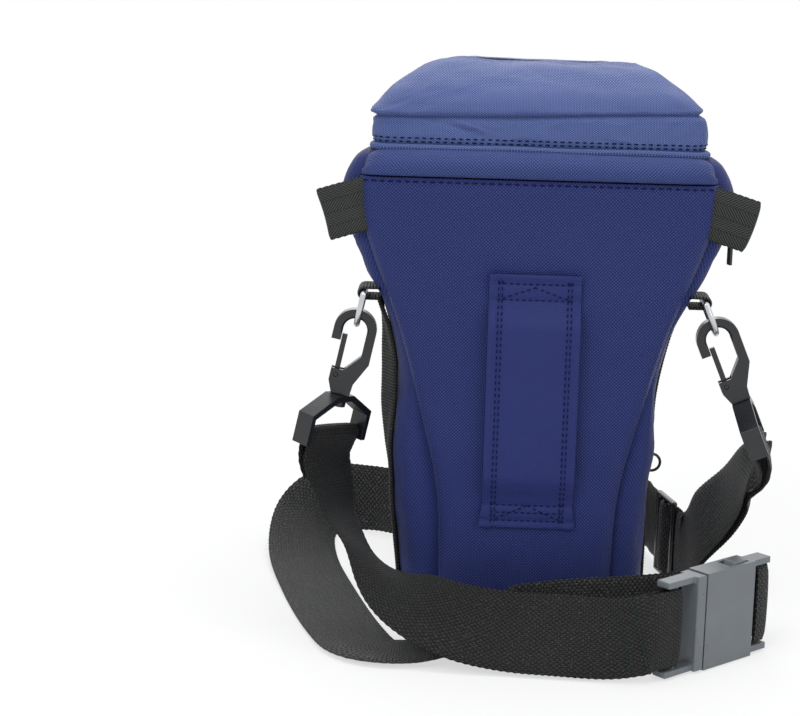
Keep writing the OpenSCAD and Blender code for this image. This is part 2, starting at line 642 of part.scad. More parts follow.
// ---- Strap: stations are a point, a direction across the width and an offset in thickness ----
// dir picks the layer on one side of the route, 1 or -1, or both layers as one band, 0
function catmull(a, b, c, d, t) = 0.5 * (2 * b + (c - a) * t + (2 * a - 5 * b + 4 * c - d) * t * t
    + (3 * b - a - 3 * c + d) * t * t * t);
function smooth_route(p, k) = let (n = len(p)) concat([for (i = [0:n - 2]) for (j = [0:k - 1])
    catmull(p[max(i - 1, 0)], p[i], p[i + 1], p[min(i + 2, n - 1)], j / k)], [p[n - 1]]);
function unit(v) = v / norm(v);
function at(s) = [s[0], s[1], s[2]];
function station(p, i, dir) =
    let (n = len(p), t = unit(at(p[min(i + 1, n - 1)]) - at(p[max(i - 1, 0)])),
         raw = [p[i][3], p[i][4], p[i][5]], s = unit(raw - (raw * t) * t), nrm = cross(t, s),
         c = at(p[i]) + dir * p[i][6] * nrm, w = web_w / 2 * s,
         h = (web_t / 2 + (dir == 0 ? p[i][6] : 0)) * nrm)
    [c + w - h, c + w + h, c - w + h, c - w - h];
module webbing(route, k, dir = 1, first = 0, last = -1) {
    p = smooth_route(route, k);
    // both faces of a twisting strap are split alike, so that its thickness stays even
    loft([for (i = [first:(last < 0 ? len(p) - 1 : last)]) station(p, i, dir)], 3);
}
web_ring_t = web_t + 0.45;                       // the folded end stands round its bar
function loop_off() = web_ring_r + web_ring_t / 2;    // layers this far from the middle of a bar
module web_ring() tube(web_ring_r, web_ring_r + web_ring_t, web_w - 0.4, 12);
function base_pt(side, z) = anchor_at(side) + z * anchor_up(side);
function bar_dir(side) = let (c = cos(turn_of(side)), s = sin(turn_of(side)), k = tilt_of(side))
    [c * cos(k), s, side * c * sin(k)];
function st(p, s, off = 0) = concat(p, s, [off]);
FRONT_ROUTE = [st(base_pt(-1, web_bar_z), bar_dir(-1), loop_off()),
    st(base_pt(-1, web_bar_z - 12), bar_dir(-1), 1.6),
    st([-94, -40, 72], [0.48, 0.87, -0.1], 1), st([-90, -46, 58], [0.3, 0.94, -0.1], 1),
    st([-80, -57, 45], [0.1, 0.97, -0.12], 1), st([-66, -70, 33], [0.05, 0.93, 0.25], 1),
    st([-48, -82, 25.5], [0, 0.78, 0.6], 1), st([-30, -89, 21], [0, 0.62, 0.78], 1),
    st([-8, -93, 18.8], [0, 0.48, 0.88], 1), st([16, -97, 19.2], [0, 0.36, 0.93], 1),
    st([36, -101, 20], [0, 0.2, 0.98], 1), st([49, -103, 22], [0, 0.05, 1], 1.2),
    st(buckle_pt(-6, 0), [0, 0, 1], 1.6), st(buckle_pt(male_bar_x, 0), [0, 0, 1], loop_off())];
module strap_front() {
    color(web_black) {
        webbing(FRONT_ROUTE, 4, 1);
        webbing(FRONT_ROUTE, 4, -1, 0, 6);
        webbing(FRONT_ROUTE, 4, -1, 45, 52);
        at_anchor(-1) rotate([0, 0, turn_left]) translate([0, 0, web_bar_z]) rotate([0, 90, 0]) web_ring();
        at_buckle() translate([male_bar_x, 0, 0]) web_ring();
    }
}
REAR_ROUTE = [st(buckle_pt(female_bar_x, loop_off()), [0, 0, 1]),
    st(buckle_pt(socket_x1 + 3, 6), [0, 0, 1]), st(buckle_pt(48, 10), [0, 0, 1]),
    st([80, -58, 22], [0, 0, 1]), st([54, -63, 20], [0, 0, 1]), st([28, -69, 19.6], [0, 0, 1]),
    st([10, -70, 19.2], [0, -0.2, 0.98]), st([-8, -68.5, 17.4], [-0.03, -0.5, 0.86]),
    st([-26, -74.5, 7.6], [-0.03, -0.95, 0.28]), st([-46, -78, 3], [-0.15, -0.98, 0.05]),
    st([-72, -76, 2], [-0.8, -0.6, 0.03]), st([-86, -48, 1.6], [-0.94, -0.33, 0]),
    st([-103, 12, 1.6], [-0.95, -0.29, 0]), st([-115, 66, 3.6], [-0.97, -0.12, 0.13]),
    st([-116, 104, 11.5], [-0.82, 0.1, 0.55]), st([-104, 124, 18], [-0.25, 0.3, 0.92]),
    st([-82, 124, 19.2], [0, 0, 1]), st([-58, 114, 19.2], [0, 0, 1]), st([-20, 108, 19.2], [0, 0, 1]),
    st([20, 112, 19.2], [0, 0, 1]), st([48, 116, 19.6], [0, 0, 1]),
    st(slider_pt(46, -hump), [0, 0, 1]), st(slider_pt(30, -hump), [0, 0, 1]),
    st(slider_pt(16 + seam, -hump), [0, 0, 1])];
module strap_rear() {
    color(web_black) {
        webbing(REAR_ROUTE, 3);
        at_buckle() translate([female_bar_x, 0, 0]) web_ring();
    }
}
ADJUST_ROUTE = [st(slider_pt(-16 - seam, -hump + 1.1), [0, 0, 1], 1.1),
    st(slider_pt(-20, -hump + 1.1), [0, 0, 1], 1.1), st(slider_pt(-25, -hump + 1.1), [0, 0, 1], 1.1),
    st(slider_pt(-34, -hump + 1.1, 5), [0, 0.2, 1], 1.2), st([91, 10, 43], [0, 0.45, 0.9], 1.6),
    st([101, -10, 62], [0, 0.7, 0.7], 2), st([107, -28, 80], [0, 0.9, 0.4], 2.2),
    st(base_pt(1, web_bar_z - 12), bar_dir(1), 2.4), st(base_pt(1, web_bar_z), bar_dir(1), loop_off()),
    st(base_pt(1, web_bar_z + web_ring_r + web_t), bar_dir(1), web_t)];
module strap_adjuster() {
    color(web_black) difference() {
        webbing(ADJUST_ROUTE, 4, 0);
        at_anchor(1) rotate([0, 0, turn_right]) translate([0, 0, web_bar_z]) rotate([0, 90, 0])
            cylinder(r = web_ring_r, h = 2 * web_w, center = true);
    }
}

back_panel();
body_wrap();
base_panel();
base_board();
body_lining();
camera_cradle();
belt_loop();
side_webbing_left();
side_webbing_right();
ring_tab_left();
ring_tab_right();
pull_tab_left();
pull_tab_right();
body_zip_tape();
small_tab();
small_wire_loop();
lid_shell();
lid_lining();
lid_back_fold();
lid_zip_tape();
lid_pocket();
pocket_cord();
pocket_zip_tape();
zip_slider();
zip_pull();
pocket_zip_slider();
pocket_zip_pull();
d_ring_left();
d_ring_right();
hook_left();
hook_right();
gate_left();
gate_right();
swivel_base_left();
swivel_base_right();
buckle_male();
prong_upper();
prong_lower();
buckle_female();
strap_slider();
strap_bridge();
strap_front();
strap_rear();
strap_adjuster();
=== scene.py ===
"""Looks of a camera holster bag: woven nylon over foam, black webbing and moulded plastic."""
import math

import bmesh
import bpy
from mathutils import Matrix, Vector, noise


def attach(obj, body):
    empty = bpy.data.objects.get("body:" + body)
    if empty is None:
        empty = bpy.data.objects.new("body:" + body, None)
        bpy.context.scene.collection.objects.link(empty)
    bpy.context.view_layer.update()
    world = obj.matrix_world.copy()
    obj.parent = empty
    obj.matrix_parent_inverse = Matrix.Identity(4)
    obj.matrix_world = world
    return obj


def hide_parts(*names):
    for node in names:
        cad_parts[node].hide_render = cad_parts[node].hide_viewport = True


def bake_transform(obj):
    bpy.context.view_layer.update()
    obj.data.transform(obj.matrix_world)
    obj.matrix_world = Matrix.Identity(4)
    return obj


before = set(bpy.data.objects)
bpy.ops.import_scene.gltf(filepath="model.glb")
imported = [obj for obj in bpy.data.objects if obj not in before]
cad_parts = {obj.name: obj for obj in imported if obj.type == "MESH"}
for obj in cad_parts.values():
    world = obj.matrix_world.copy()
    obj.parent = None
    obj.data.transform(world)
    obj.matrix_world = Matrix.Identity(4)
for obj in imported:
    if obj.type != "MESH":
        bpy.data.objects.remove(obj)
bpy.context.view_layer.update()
mm = 0.001
scene = bpy.context.scene


# ---- Shader node helpers ----
FLOAT, VECTOR = "NodeSocketFloat", "NodeSocketVector"


def new_material(name):
    material = bpy.data.materials.new(name)
    material.use_nodes = True
    return material, material.node_tree, material.node_tree.nodes["Principled BSDF"]


def set_inputs(node, values):
    """Sets a node's inputs by their labels; a value is a number, a colour or a socket to link."""
    for label, value in values.items():
        if isinstance(value, bpy.types.NodeSocket):
            node.id_data.links.new(value, node.inputs[label])
        else:
            node.inputs[label].default_value = value


def new_node(tree, kind, values=None):
    node = tree.nodes.new("ShaderNode" + kind)
    set_inputs(node, values or {})
    return node


def calc(tree, operation, *values):
    """One Math node, whose values are sockets or numbers."""
    node = new_node(tree, "Math", dict(enumerate(values)))
    node.operation = operation
    return node.outputs[0]


# ---- Stage: camera, backdrop and light ----
IMAGE_W, IMAGE_H = 800, 716
FOCAL_PX = 2120                                   # focal length in pixels of that image
TARGET = Vector((0, -54, 120)) * mm               # middle of the back panel
TARGET_PX = (531, 400)                            # where the image shows that point
VIEW_AZIMUTH, VIEW_ELEVATION, VIEW_ROLL = (math.radians(a) for a in (-2, 13, 2.3))
VIEW_DISTANCE = 1.0


def make_camera():
    """A camera that looks at the target from its azimuth, elevation and distance, a little rolled."""
    data = bpy.data.cameras.new("camera")
    data.sensor_width = 36
    data.lens = data.sensor_width * FOCAL_PX / IMAGE_W
    data.clip_start = 0.05
    camera = bpy.data.objects.new("camera", data)
    scene.collection.objects.link(camera)
    level = math.cos(VIEW_ELEVATION)
    back = Vector((math.sin(VIEW_AZIMUTH) * level, -math.cos(VIEW_AZIMUTH) * level,
                   math.sin(VIEW_ELEVATION)))
    aim = (-back).to_track_quat("-Z", "Y").to_matrix() @ Matrix.Rotation(VIEW_ROLL, 3, "Z")
    off = Vector(((TARGET_PX[0] - IMAGE_W / 2) / FOCAL_PX, (IMAGE_H / 2 - TARGET_PX[1]) / FOCAL_PX, -1))
    aim = aim @ off.rotation_difference(Vector((0, 0, -1))).to_matrix()
    camera.matrix_world = Matrix.Translation(TARGET + back * VIEW_DISTANCE) @ aim.to_4x4()
    scene.camera = camera


def make_lamp(name, place, aim, size, power):
    """A round lamp of this size at a place, turned to what it aims at."""
    data = bpy.data.lights.new(name, "AREA")
    data.shape = "DISK"
    data.size = size
    data.energy = power
    lamp = bpy.data.objects.new(name, data)
    lamp.location = place
    lamp.rotation_euler = (Vector(aim) - Vector(place)).to_track_quat("-Z", "Y").to_euler()
    scene.collection.objects.link(lamp)


def seen_directly(tree):
    """1 for rays that come from the camera, from a gloss or through something clear."""
    path = new_node(tree, "LightPath").outputs
    either = calc(tree, "MAXIMUM", path["Is Camera Ray"], path["Is Glossy Ray"])
    return calc(tree, "MAXIMUM", either, path["Is Transmission Ray"])


def floor_material():
    """White paper that glows a little where it is seen, and wholly far away, but keeps the shadow."""
    material, tree, paint = new_material("white_paper")
    set_inputs(paint, {"Base Color": (0.93, 0.93, 0.93, 1), "Roughness": 0.9, "Specular IOR Level": 0.1})
    glow = new_node(tree, "Emission", {"Color": (1, 1, 1, 1), "Strength": 1})
    reach = new_node(tree, "VectorMath", {0: new_node(tree, "TexCoord").outputs["Object"]})
    reach.operation = "LENGTH"
    fade = new_node(tree, "MapRange", {"Value": reach.outputs["Value"], "From Min": 0.2, "From Max": 0.55,
                                       "To Min": 0.62, "To Max": 1})
    fade.interpolation_type = "SMOOTHSTEP"
    share = calc(tree, "MULTIPLY", fade.outputs["Result"], seen_directly(tree))
    mix = new_node(tree, "MixShader", {0: share, 1: paint.outputs[0], 2: glow.outputs[0]})
    set_inputs(tree.nodes["Material Output"], {"Surface": mix.outputs[0]})
    return material


def make_backdrop():
    """A white floor that runs on to a white world."""
    bm = bmesh.new()
    bmesh.ops.create_circle(bm, cap_ends=True, segments=64, radius=3)
    mesh = bpy.data.meshes.new("floor")
    bm.to_mesh(mesh)
    bm.free()
    mesh.materials.append(floor_material())
    floor = bpy.data.objects.new("floor", mesh)
    scene.collection.objects.link(floor)
    world = bpy.data.worlds.new("white_world")
    scene.world = world
    world.use_nodes = True
    tree = world.node_tree
    tree.nodes.clear()
    fill = new_node(tree, "Background", {"Color": (0.96, 0.98, 1.0, 1), "Strength": 0.4})
    white = new_node(tree, "Background", {"Color": (1, 1, 1, 1)})
    mix = new_node(tree, "MixShader", {0: seen_directly(tree), 1: fill.outputs[0], 2: white.outputs[0]})
    new_node(tree, "OutputWorld", {"Surface": mix.outputs[0]})


make_camera()
make_backdrop()
# Lamps: place, aim, size and power
make_lamp("key_lamp", (-0.9, -1.3, 1.3), (0, 0, 0.13), 1.2, 13)
make_lamp("fill_lamp", (1.2, -1.0, 0.8), (0, 0, 0.12), 1.4, 6)
make_lamp("top_lamp", (0.1, 0.1, 1.7), (0, 0, 0.15), 1.3, 15)
make_lamp("back_lamp", (-0.2, 1.4, 0.9), (0, 0, 0.15), 1.2, 5)
scene.view_settings.view_transform = "Standard"


# ---- Shader groups for thread, ribs, fading and grain ----
def node_group(name, inputs, outputs):
    """An empty shader group with named inputs and outputs: its inner sources, and its output node."""
    group = bpy.data.node_groups.new(name, "ShaderNodeTree")
    for label, kind, value in inputs:
        socket = group.interface.new_socket(label, in_out="INPUT", socket_type=kind)
        if value is not None:
            socket.default_value = value
    for label in outputs:
        group.interface.new_socket(label, in_out="OUTPUT", socket_type=FLOAT)
    return group, group.nodes.new("NodeGroupInput").outputs, group.nodes.new("NodeGroupOutput")


def half_wave(tree, value):
    """A round hump over each whole step of the value."""
    return calc(tree, "SINE", calc(tree, "MULTIPLY", calc(tree, "FRACT", value), math.pi))


def weave_group():
    """Threads of warp and weft that pass over each other: how high they stand, and where the warp is on top,
    the mask of a painted highlight on its crown.
    """
    group, ins, outs = node_group(
        "woven_threads",
        [("Vector", VECTOR, None), ("Pitch Across", FLOAT, 0.001), ("Pitch Along", FLOAT, 0.001),
         ("Threads Passed", FLOAT, 1)], ["Height", "Warp"])
    split = new_node(group, "SeparateXYZ", {0: ins["Vector"]}).outputs
    across = calc(group, "DIVIDE", split["X"], ins["Pitch Across"])
    along = calc(group, "DIVIDE", split["Y"], ins["Pitch Along"])
    cell_x = calc(group, "DIVIDE", across, ins["Threads Passed"])
    cell_y = calc(group, "DIVIDE", along, ins["Threads Passed"])
    steps = calc(group, "ADD", calc(group, "FLOOR", cell_x), calc(group, "FLOOR", cell_y))
    over = calc(group, "FLOORED_MODULO", steps, 2)
    warp, weft = (calc(group, "MULTIPLY", half_wave(group, thread),
                       calc(group, "MULTIPLY_ADD", half_wave(group, cell), 0.6, 0.4))
                  for thread, cell in ((across, cell_y), (along, cell_x)))
    seen_warp = calc(group, "MULTIPLY", warp, over)
    height = calc(group, "MULTIPLY_ADD", weft, calc(group, "SUBTRACT", 1, over), seen_warp)
    set_inputs(outs, {"Height": height, "Warp": seen_warp})
    return group


def rib_group():
    """Ribs across a tape that turn back at each column, or run straight where the slant is 0."""
    group, ins, outs = node_group(
        "slanted_ribs",
        [("Vector", VECTOR, None), ("Rib Pitch", FLOAT, 0.0015), ("Column", FLOAT, 0.004),
         ("Slant", FLOAT, 1)], ["Height", "Warp"])
    split = new_node(group, "SeparateXYZ", {0: ins["Vector"]}).outputs
    fold = calc(group, "PINGPONG", split["X"], ins["Column"])
    run = calc(group, "MULTIPLY_ADD", fold, ins["Slant"], split["Y"])
    rib = half_wave(group, calc(group, "DIVIDE", run, ins["Rib Pitch"]))
    groove = half_wave(group, calc(group, "DIVIDE", split["X"], ins["Column"]))
    groove = calc(group, "MINIMUM", calc(group, "MULTIPLY", groove, 4), 1)
    height = calc(group, "MULTIPLY", rib, calc(group, "MULTIPLY_ADD", groove, 0.4, 0.6))
    # The crowns of the ribs carry a painted highlight, the grooves painted shade.
    set_inputs(outs, {"Height": height, "Warp": calc(group, "POWER", height, 2)})
    return group


def noise_at(tree, vector, scale, detail):
    """Soft noise around this place; the scale is a number or a socket."""
    return new_node(tree, "TexNoise", {"Vector": vector, "Scale": scale, "Detail": detail}).outputs["Fac"]


def patch_group():
    """Soft patches and a fine fleck, for cloth that has faded and gathered lint."""
    group, ins, outs = node_group(
        "faded_patches", [("Vector", VECTOR, None), ("Patch Scale", FLOAT, 18)], ["Patches", "Lint"])
    wide = noise_at(group, ins["Vector"], ins["Patch Scale"], 3)
    fleck = noise_at(group, ins["Vector"], 1600, 1)
    lint = calc(group, "MULTIPLY", calc(group, "SUBTRACT", fleck, 0.62), 7)
    lint = calc(group, "MINIMUM", calc(group, "MAXIMUM", lint, 0), 1)
    set_inputs(outs, {"Patches": wide, "Lint": lint})
    return group


def grain_group():
    """The spark-eroded grain of a moulded part, with a slow change of gloss."""
    group, ins, outs = node_group(
        "moulded_grain", [("Vector", VECTOR, None), ("Grain Scale", FLOAT, 2500)], ["Height", "Gloss"])
    fine = noise_at(group, ins["Vector"], ins["Grain Scale"], 2)
    slow = noise_at(group, ins["Vector"], 60, 2)
    set_inputs(outs, {"Height": fine, "Gloss": slow})
    return group


WEAVE, RIBS, PATCHES, GRAIN = weave_group(), rib_group(), patch_group(), grain_group()
CLOTH_MAP = "Cloth"                               # UV map laid out in metres of flat cloth


# ---- Materials ----
def place_group(tree, group, vector, **values):
    """Places a group whose inputs are named by words joined with _, such as pitch_across."""
    node = tree.nodes.new("ShaderNodeGroup")
    node.node_tree = group
    set_inputs(node, {"Vector": vector})
    set_inputs(node, {label.replace("_", " ").title(): value for label, value in values.items()})
    return node.outputs


def on_piece(tree):
    return new_node(tree, "TexCoord").outputs["Object"]


def mix_colour(tree, share, first, second):
    """Mixes two colours, each a socket or three numbers, by a share from 0 to 1."""
    node = tree.nodes.new("ShaderNodeMix")
    node.data_type = "RGBA"
    sockets = [s for s in node.inputs if s.enabled]
    for place, value in zip(sockets, (share, first, second)):
        if isinstance(value, bpy.types.NodeSocket):
            tree.links.new(value, place)
        else:
            place.default_value = (*value, 1) if isinstance(value, tuple) else value
    return [s for s in node.outputs if s.enabled][0]


def raise_surface(tree, paint, height, depth, strength=0.8):
    bump = new_node(tree, "Bump", {"Distance": depth, "Strength": strength, "Height": height})
    set_inputs(paint, {"Normal": bump.outputs[0]})


def cloth_material(name, group, shade, lit, depth, roughness, sheen=0.1, fade=0.25, lint=0.0, **values):
    """Cloth whose threads run with the flat cloth's own map; lit is a painted highlight on a thread's crown,
    and shade the painted shade round it.
    """
    material, tree, paint = new_material(name)
    flat = tree.nodes.new("ShaderNodeUVMap")
    flat.uv_map = CLOTH_MAP
    threads = place_group(tree, group, flat.outputs[0], **values)
    patches = place_group(tree, PATCHES, on_piece(tree))
    # Painted highlight on the crowns of the threads, over painted shade between them.
    colour = mix_colour(tree, threads["Warp"], shade, lit)
    pale = tuple(min(1.0, c * 1.5 + 0.01) for c in lit)
    share = calc(tree, "MULTIPLY", calc(tree, "SUBTRACT", patches["Patches"], 0.35), fade)
    colour = mix_colour(tree, calc(tree, "MAXIMUM", share, 0), colour, pale)
    if lint:
        share = calc(tree, "MULTIPLY", patches["Lint"], lint)
        colour = mix_colour(tree, share, colour, LINT_GREY)
    dull = calc(tree, "MULTIPLY_ADD", patches["Patches"], 0.12, roughness - 0.06)
    set_inputs(paint, {"Base Color": colour, "Roughness": dull, "Sheen Weight": sheen,
                       "Sheen Roughness": 0.4, "Specular IOR Level": 0.2})
    raise_surface(tree, paint, threads["Height"], depth)
    return material


def moulded_material(name, colour, roughness, shine=0.5):
    """Satin moulded plastic, a little glossier where hands have rubbed it."""
    material, tree, paint = new_material(name)
    grain = place_group(tree, GRAIN, on_piece(tree))
    pale = tuple(c * 1.35 + 0.004 for c in colour)
    set_inputs(paint, {"Base Color": mix_colour(tree, grain["Gloss"], colour, pale),
                       "Roughness": calc(tree, "MULTIPLY_ADD", grain["Gloss"], 0.2, roughness - 0.1),
                       "Specular IOR Level": shine})
    raise_surface(tree, paint, grain["Height"], 0.02 * mm, 0.5)
    return material


def wire_material(name, colour, roughness):
    """Plated wire, dulled in patches."""
    material, tree, paint = new_material(name)
    grain = place_group(tree, GRAIN, on_piece(tree), grain_scale=900)
    dull = tuple(c * 0.55 for c in colour)
    set_inputs(paint, {"Base Color": mix_colour(tree, grain["Gloss"], colour, dull),
                       "Roughness": calc(tree, "MULTIPLY_ADD", grain["Height"], 0.25, roughness),
                       "Metallic": 1})
    raise_surface(tree, paint, grain["Height"], 0.01 * mm, 0.4)
    return material


LINT_GREY = (0.35, 0.35, 0.36)
NAVY_SHADE, NAVY_LIT = (0.008, 0.014, 0.085), (0.040, 0.066, 0.27)
NYLON = cloth_material("woven_nylon", WEAVE, NAVY_SHADE, NAVY_LIT, 0.25 * mm, 0.5, fade=0.1,
                       pitch_across=0.8 * mm, pitch_along=0.8 * mm)
# A lighter copy of the nylon for the lid's top, pocket, piping and welts: painted light from above, where
# the cloth faces up.
TOP_NYLON_PAINTED_LIGHT = cloth_material("top_nylon_painted_light", WEAVE, (0.034, 0.052, 0.16), (0.17, 0.25, 0.58), 0.22 * mm, 0.55,
                           fade=0.1, pitch_across=0.7 * mm, pitch_along=0.7 * mm)
# A lighter copy of the nylon for the lid's back fold: painted light on the shoulder that tilts up towards
# the light.
SHOULDER_NYLON_PAINTED_LIGHT = cloth_material("shoulder_nylon_painted_light", WEAVE, (0.018, 0.029, 0.115), (0.085, 0.13, 0.40),
                                0.25 * mm, 0.5, fade=0.1, pitch_across=0.8 * mm, pitch_along=0.8 * mm)
FINE_NYLON = cloth_material("fine_nylon", WEAVE, (0.010, 0.016, 0.10), (0.034, 0.052, 0.235), 0.15 * mm,
                            0.45, fade=0.1, pitch_across=0.45 * mm, pitch_along=0.7 * mm)
WEBBING = cloth_material("black_webbing", WEAVE, (0.003, 0.003, 0.003), (0.03, 0.031, 0.030), 0.5 * mm,
                         0.6, sheen=0.05, lint=0.2, pitch_across=1.0 * mm, pitch_along=1.4 * mm)
COARSE_WEBBING = cloth_material("coarse_webbing", WEAVE, (0.003, 0.003, 0.003), (0.055, 0.057, 0.054),
                                0.5 * mm, 0.6, sheen=0.08, lint=0.5, pitch_across=1.5 * mm,
                                pitch_along=1.2 * mm)
SIDE_WEBBING = cloth_material("side_webbing", RIBS, (0.005, 0.005, 0.006), (0.04, 0.042, 0.04), 0.6 * mm,
                              0.6, sheen=0.05, lint=0.2, rib_pitch=1.5 * mm, column=6 * mm, slant=0.0)
TWILL = cloth_material("twill_tape", RIBS, (0.006, 0.007, 0.007), (0.055, 0.06, 0.055), 0.5 * mm,
                       0.6, sheen=0.05, rib_pitch=1.5 * mm, column=6.2 * mm, slant=1.0)
LINING = cloth_material("brushed_lining", WEAVE, (0.05, 0.05, 0.06), (0.12, 0.12, 0.14), 0.15 * mm,
                        0.8, sheen=0.3, pitch_across=0.6 * mm, pitch_along=0.6 * mm)
TAPE = cloth_material("zip_tape", WEAVE, (0.006, 0.006, 0.007), (0.03, 0.03, 0.032), 0.2 * mm,
                      0.65, pitch_across=0.6 * mm, pitch_along=0.6 * mm)
THREAD = moulded_material("navy_thread", (0.006, 0.009, 0.050), 0.7, shine=0.05)
STRAP_THREAD = moulded_material("strap_thread", (0.015, 0.035, 0.04), 0.7, shine=0.1)
PLASTIC = moulded_material("black_plastic", (0.010, 0.011, 0.013), 0.26)
# Black plastic painted mid-grey: a painted reflection of the bright surroundings on the buckle's faces.
BUCKLE_PAINTED_REFLECTION = moulded_material("buckle_plastic_painted_reflection", (0.115, 0.128, 0.140), 0.30)
STEEL = wire_material("plated_wire", (0.72, 0.73, 0.74), 0.16)
BOARD = moulded_material("stiff_board", (0.02, 0.02, 0.022), 0.7)


# ---- Shape helpers: lengths in millimetres until a point is placed ----
def point(x, y, z):
    return Vector((x, y, z)) * mm


def blend(a, b, share):
    return a + (b - a) * share


def ease(share):
    share = min(max(share, 0), 1)
    return share * share * (3 - 2 * share)


def hump(place, middle, reach):
    """1 at the middle, falling smoothly to 0 at the reach on both sides."""
    return ease(1 - abs(place - middle) / reach)


def ripple(x, y, z, size, seed=0):
    """Smooth noise from -1 to 1 with lumps of about this size."""
    return noise.noise(Vector((x, y, z)) / size + Vector((seed, seed * 1.7, 0)))


def through(rows, t):
    """A smooth curve through (place, value) rows."""
    t = min(max(t, rows[0][0]), rows[-1][0])
    i = max([k for k in range(len(rows) - 1) if rows[k][0] <= t])
    (t0, v0), (t1, v1) = rows[i], rows[i + 1]
    before, after = rows[max(i - 1, 0)], rows[min(i + 2, len(rows) - 1)]
    slope0 = (v1 - before[1]) / (t1 - before[0]) * (t1 - t0)
    slope1 = (after[1] - v0) / (after[0] - t0) * (t1 - t0)
    s = (t - t0) / (t1 - t0)
    return ((2 * s ** 3 - 3 * s * s + 1) * v0 + (s ** 3 - 2 * s * s + s) * slope0
            + (3 * s * s - 2 * s ** 3) * v1 + (s ** 3 - s * s) * slope1)


def distances(points):
    """How far along an open line each of its points lies."""
    run = [0.0]
    for a, b in zip(points, points[1:]):
        run.append(run[-1] + (b - a).length)
    return run


def even_steps(run, count):
    """Even steps along a line with these distances: the stretch, the share of it and the distance."""
    steps, k = [], 0
    for n in range(count + 1):
        want = run[-1] * n / count
        while k < len(run) - 2 and run[k + 1] < want:
            k += 1
        share = (want - run[k]) / max(run[k + 1] - run[k], 1e-9)
        steps.append((k, min(max(share, 0), 1), want))
    return steps


def spread_evenly(points, count):
    """Points at even steps along an open line, with their distances from its start."""
    return [(points[k].lerp(points[k + 1], share), want)
            for k, share, want in even_steps(distances(points), count)]


def cloth_grid(columns, rows, place, flat):
    """A sheet of cloth as a grid: place gives a corner's point, flat its place on the flat cloth."""
    bm = bmesh.new()
    bmesh.ops.create_grid(bm, x_segments=columns, y_segments=rows, size=1)
    layer = bm.loops.layers.uv.new(CLOTH_MAP)
    steps = {v: (round((v.co.x + 1) / 2 * columns), round((v.co.y + 1) / 2 * rows)) for v in bm.verts}
    for face in bm.faces:
        for loop in face.loops:
            loop[layer].uv = flat(*steps[loop.vert])
    for vert, step in steps.items():
        vert.co = place(*step)
    return bm


def lay_cloth(bm):
    """Lays the cloth's map on each face from the side that it faces."""
    layer = bm.loops.layers.uv.get(CLOTH_MAP) or bm.loops.layers.uv.new(CLOTH_MAP)
    for face in bm.faces:
        facing = [abs(c) for c in face.normal]
        u, v = ((1, 2), (0, 2), (0, 1))[facing.index(max(facing))]
        for loop in face.loops:
            loop[layer].uv = (loop.vert.co[u], loop.vert.co[v])


def sew_shut(bm, reach=0.05):
    bmesh.ops.remove_doubles(bm, verts=bm.verts, dist=reach * mm)
    bmesh.ops.recalc_face_normals(bm, faces=bm.faces)


def open_edges(bm, test=lambda p: True):
    return [e for e in bm.edges if len(e.link_faces) == 1 and all(test(v.co / mm) for v in e.verts)]


def close_up(bm):
    bmesh.ops.holes_fill(bm, edges=open_edges(bm))
    bmesh.ops.recalc_face_normals(bm, faces=bm.faces)


def new_corners(made):
    """The corners among what a bmesh operator has made."""
    return [g for g in made["geom"] if isinstance(g, bmesh.types.BMVert)]


def make_piece(name, bm, material, body, replaces=(), wall=0, rounding=0, flip=False):
    """Turns the mesh into a piece that moves with its body, or stands on its own where it has none."""
    if flip:
        bmesh.ops.reverse_faces(bm, faces=bm.faces)
    for face in bm.faces:
        face.smooth = True
    mesh = bpy.data.meshes.new(name)
    bm.to_mesh(mesh)
    bm.free()
    mesh.materials.append(material)
    piece = bpy.data.objects.new(name, mesh)
    scene.collection.objects.link(piece)
    if wall:
        solid = piece.modifiers.new("wall", "SOLIDIFY")
        solid.thickness = wall * mm
        solid.offset = -1
        solid.use_even_offset = False
    if rounding:
        edge = piece.modifiers.new("rounding", "BEVEL")
        edge.width = rounding * mm
        edge.segments = 3
        edge.limit_method = "ANGLE"
        edge.angle_limit = math.radians(40)
    if body:
        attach(piece, body)
    if replaces:
        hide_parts(*replaces)
    return piece


def stitch_rows(name, rows, body, material=THREAD, stitch=2.6, gap=1.1, thick=0.42):
    """Rows of stitches; a row is a list of (point, way out of the cloth), in metres."""
    bm = bmesh.new()
    step = (stitch + gap) * mm
    for row in rows:
        run = 0.0
        for (a, out_a), (b, out_b) in zip(row, row[1:]):
            length = (b - a).length
            while run <= length:
                share = run / max(length, 1e-9)
                along = (b - a).normalized()
                out = out_a.lerp(out_b, share).normalized()
                side = along.cross(out).normalized()
                turn = Matrix((along, side, out)).transposed().to_4x4()
                size = Matrix.Diagonal((stitch / 2 * mm, thick * mm, thick * mm * 0.8, 1))
                bmesh.ops.create_uvsphere(bm, u_segments=6, v_segments=4, radius=1,
                                          matrix=Matrix.Translation(a.lerp(b, share)) @ turn @ size
                                          @ Matrix.Rotation(math.pi / 2, 4, "Y"))
                run += step
            run -= length
    return make_piece(name, bm, material, body)


def moulded(node, body, material=PLASTIC, rounding=0.6, crease=35):
    """A copy of one node with rounded edges, which moves with the node's body."""
    bm = bmesh.new()
    bm.from_mesh(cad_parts[node].data)
    bmesh.ops.remove_doubles(bm, verts=bm.verts, dist=0.01 * mm)
    bmesh.ops.dissolve_limit(bm, angle_limit=math.radians(2), verts=bm.verts, edges=bm.edges)
    sharp = [e for e in bm.edges if len(e.link_faces) == 2 and e.calc_face_angle(0) > math.radians(crease)]
    bmesh.ops.bevel(bm, geom=sharp, offset=rounding * mm, offset_type="OFFSET", segments=3, profile=0.5,
                    affect="EDGES", clamp_overlap=True, material=-1)
    bmesh.ops.triangulate(bm, faces=[f for f in bm.faces if len(f.verts) > 4])
    bm.normal_update()
    lay_cloth(bm)
    piece = make_piece("shaped_" + node, bm, material, body, [node])
    smooth = piece.modifiers.new("even_light", "WEIGHTED_NORMAL")
    smooth.keep_sharp = False
    return piece


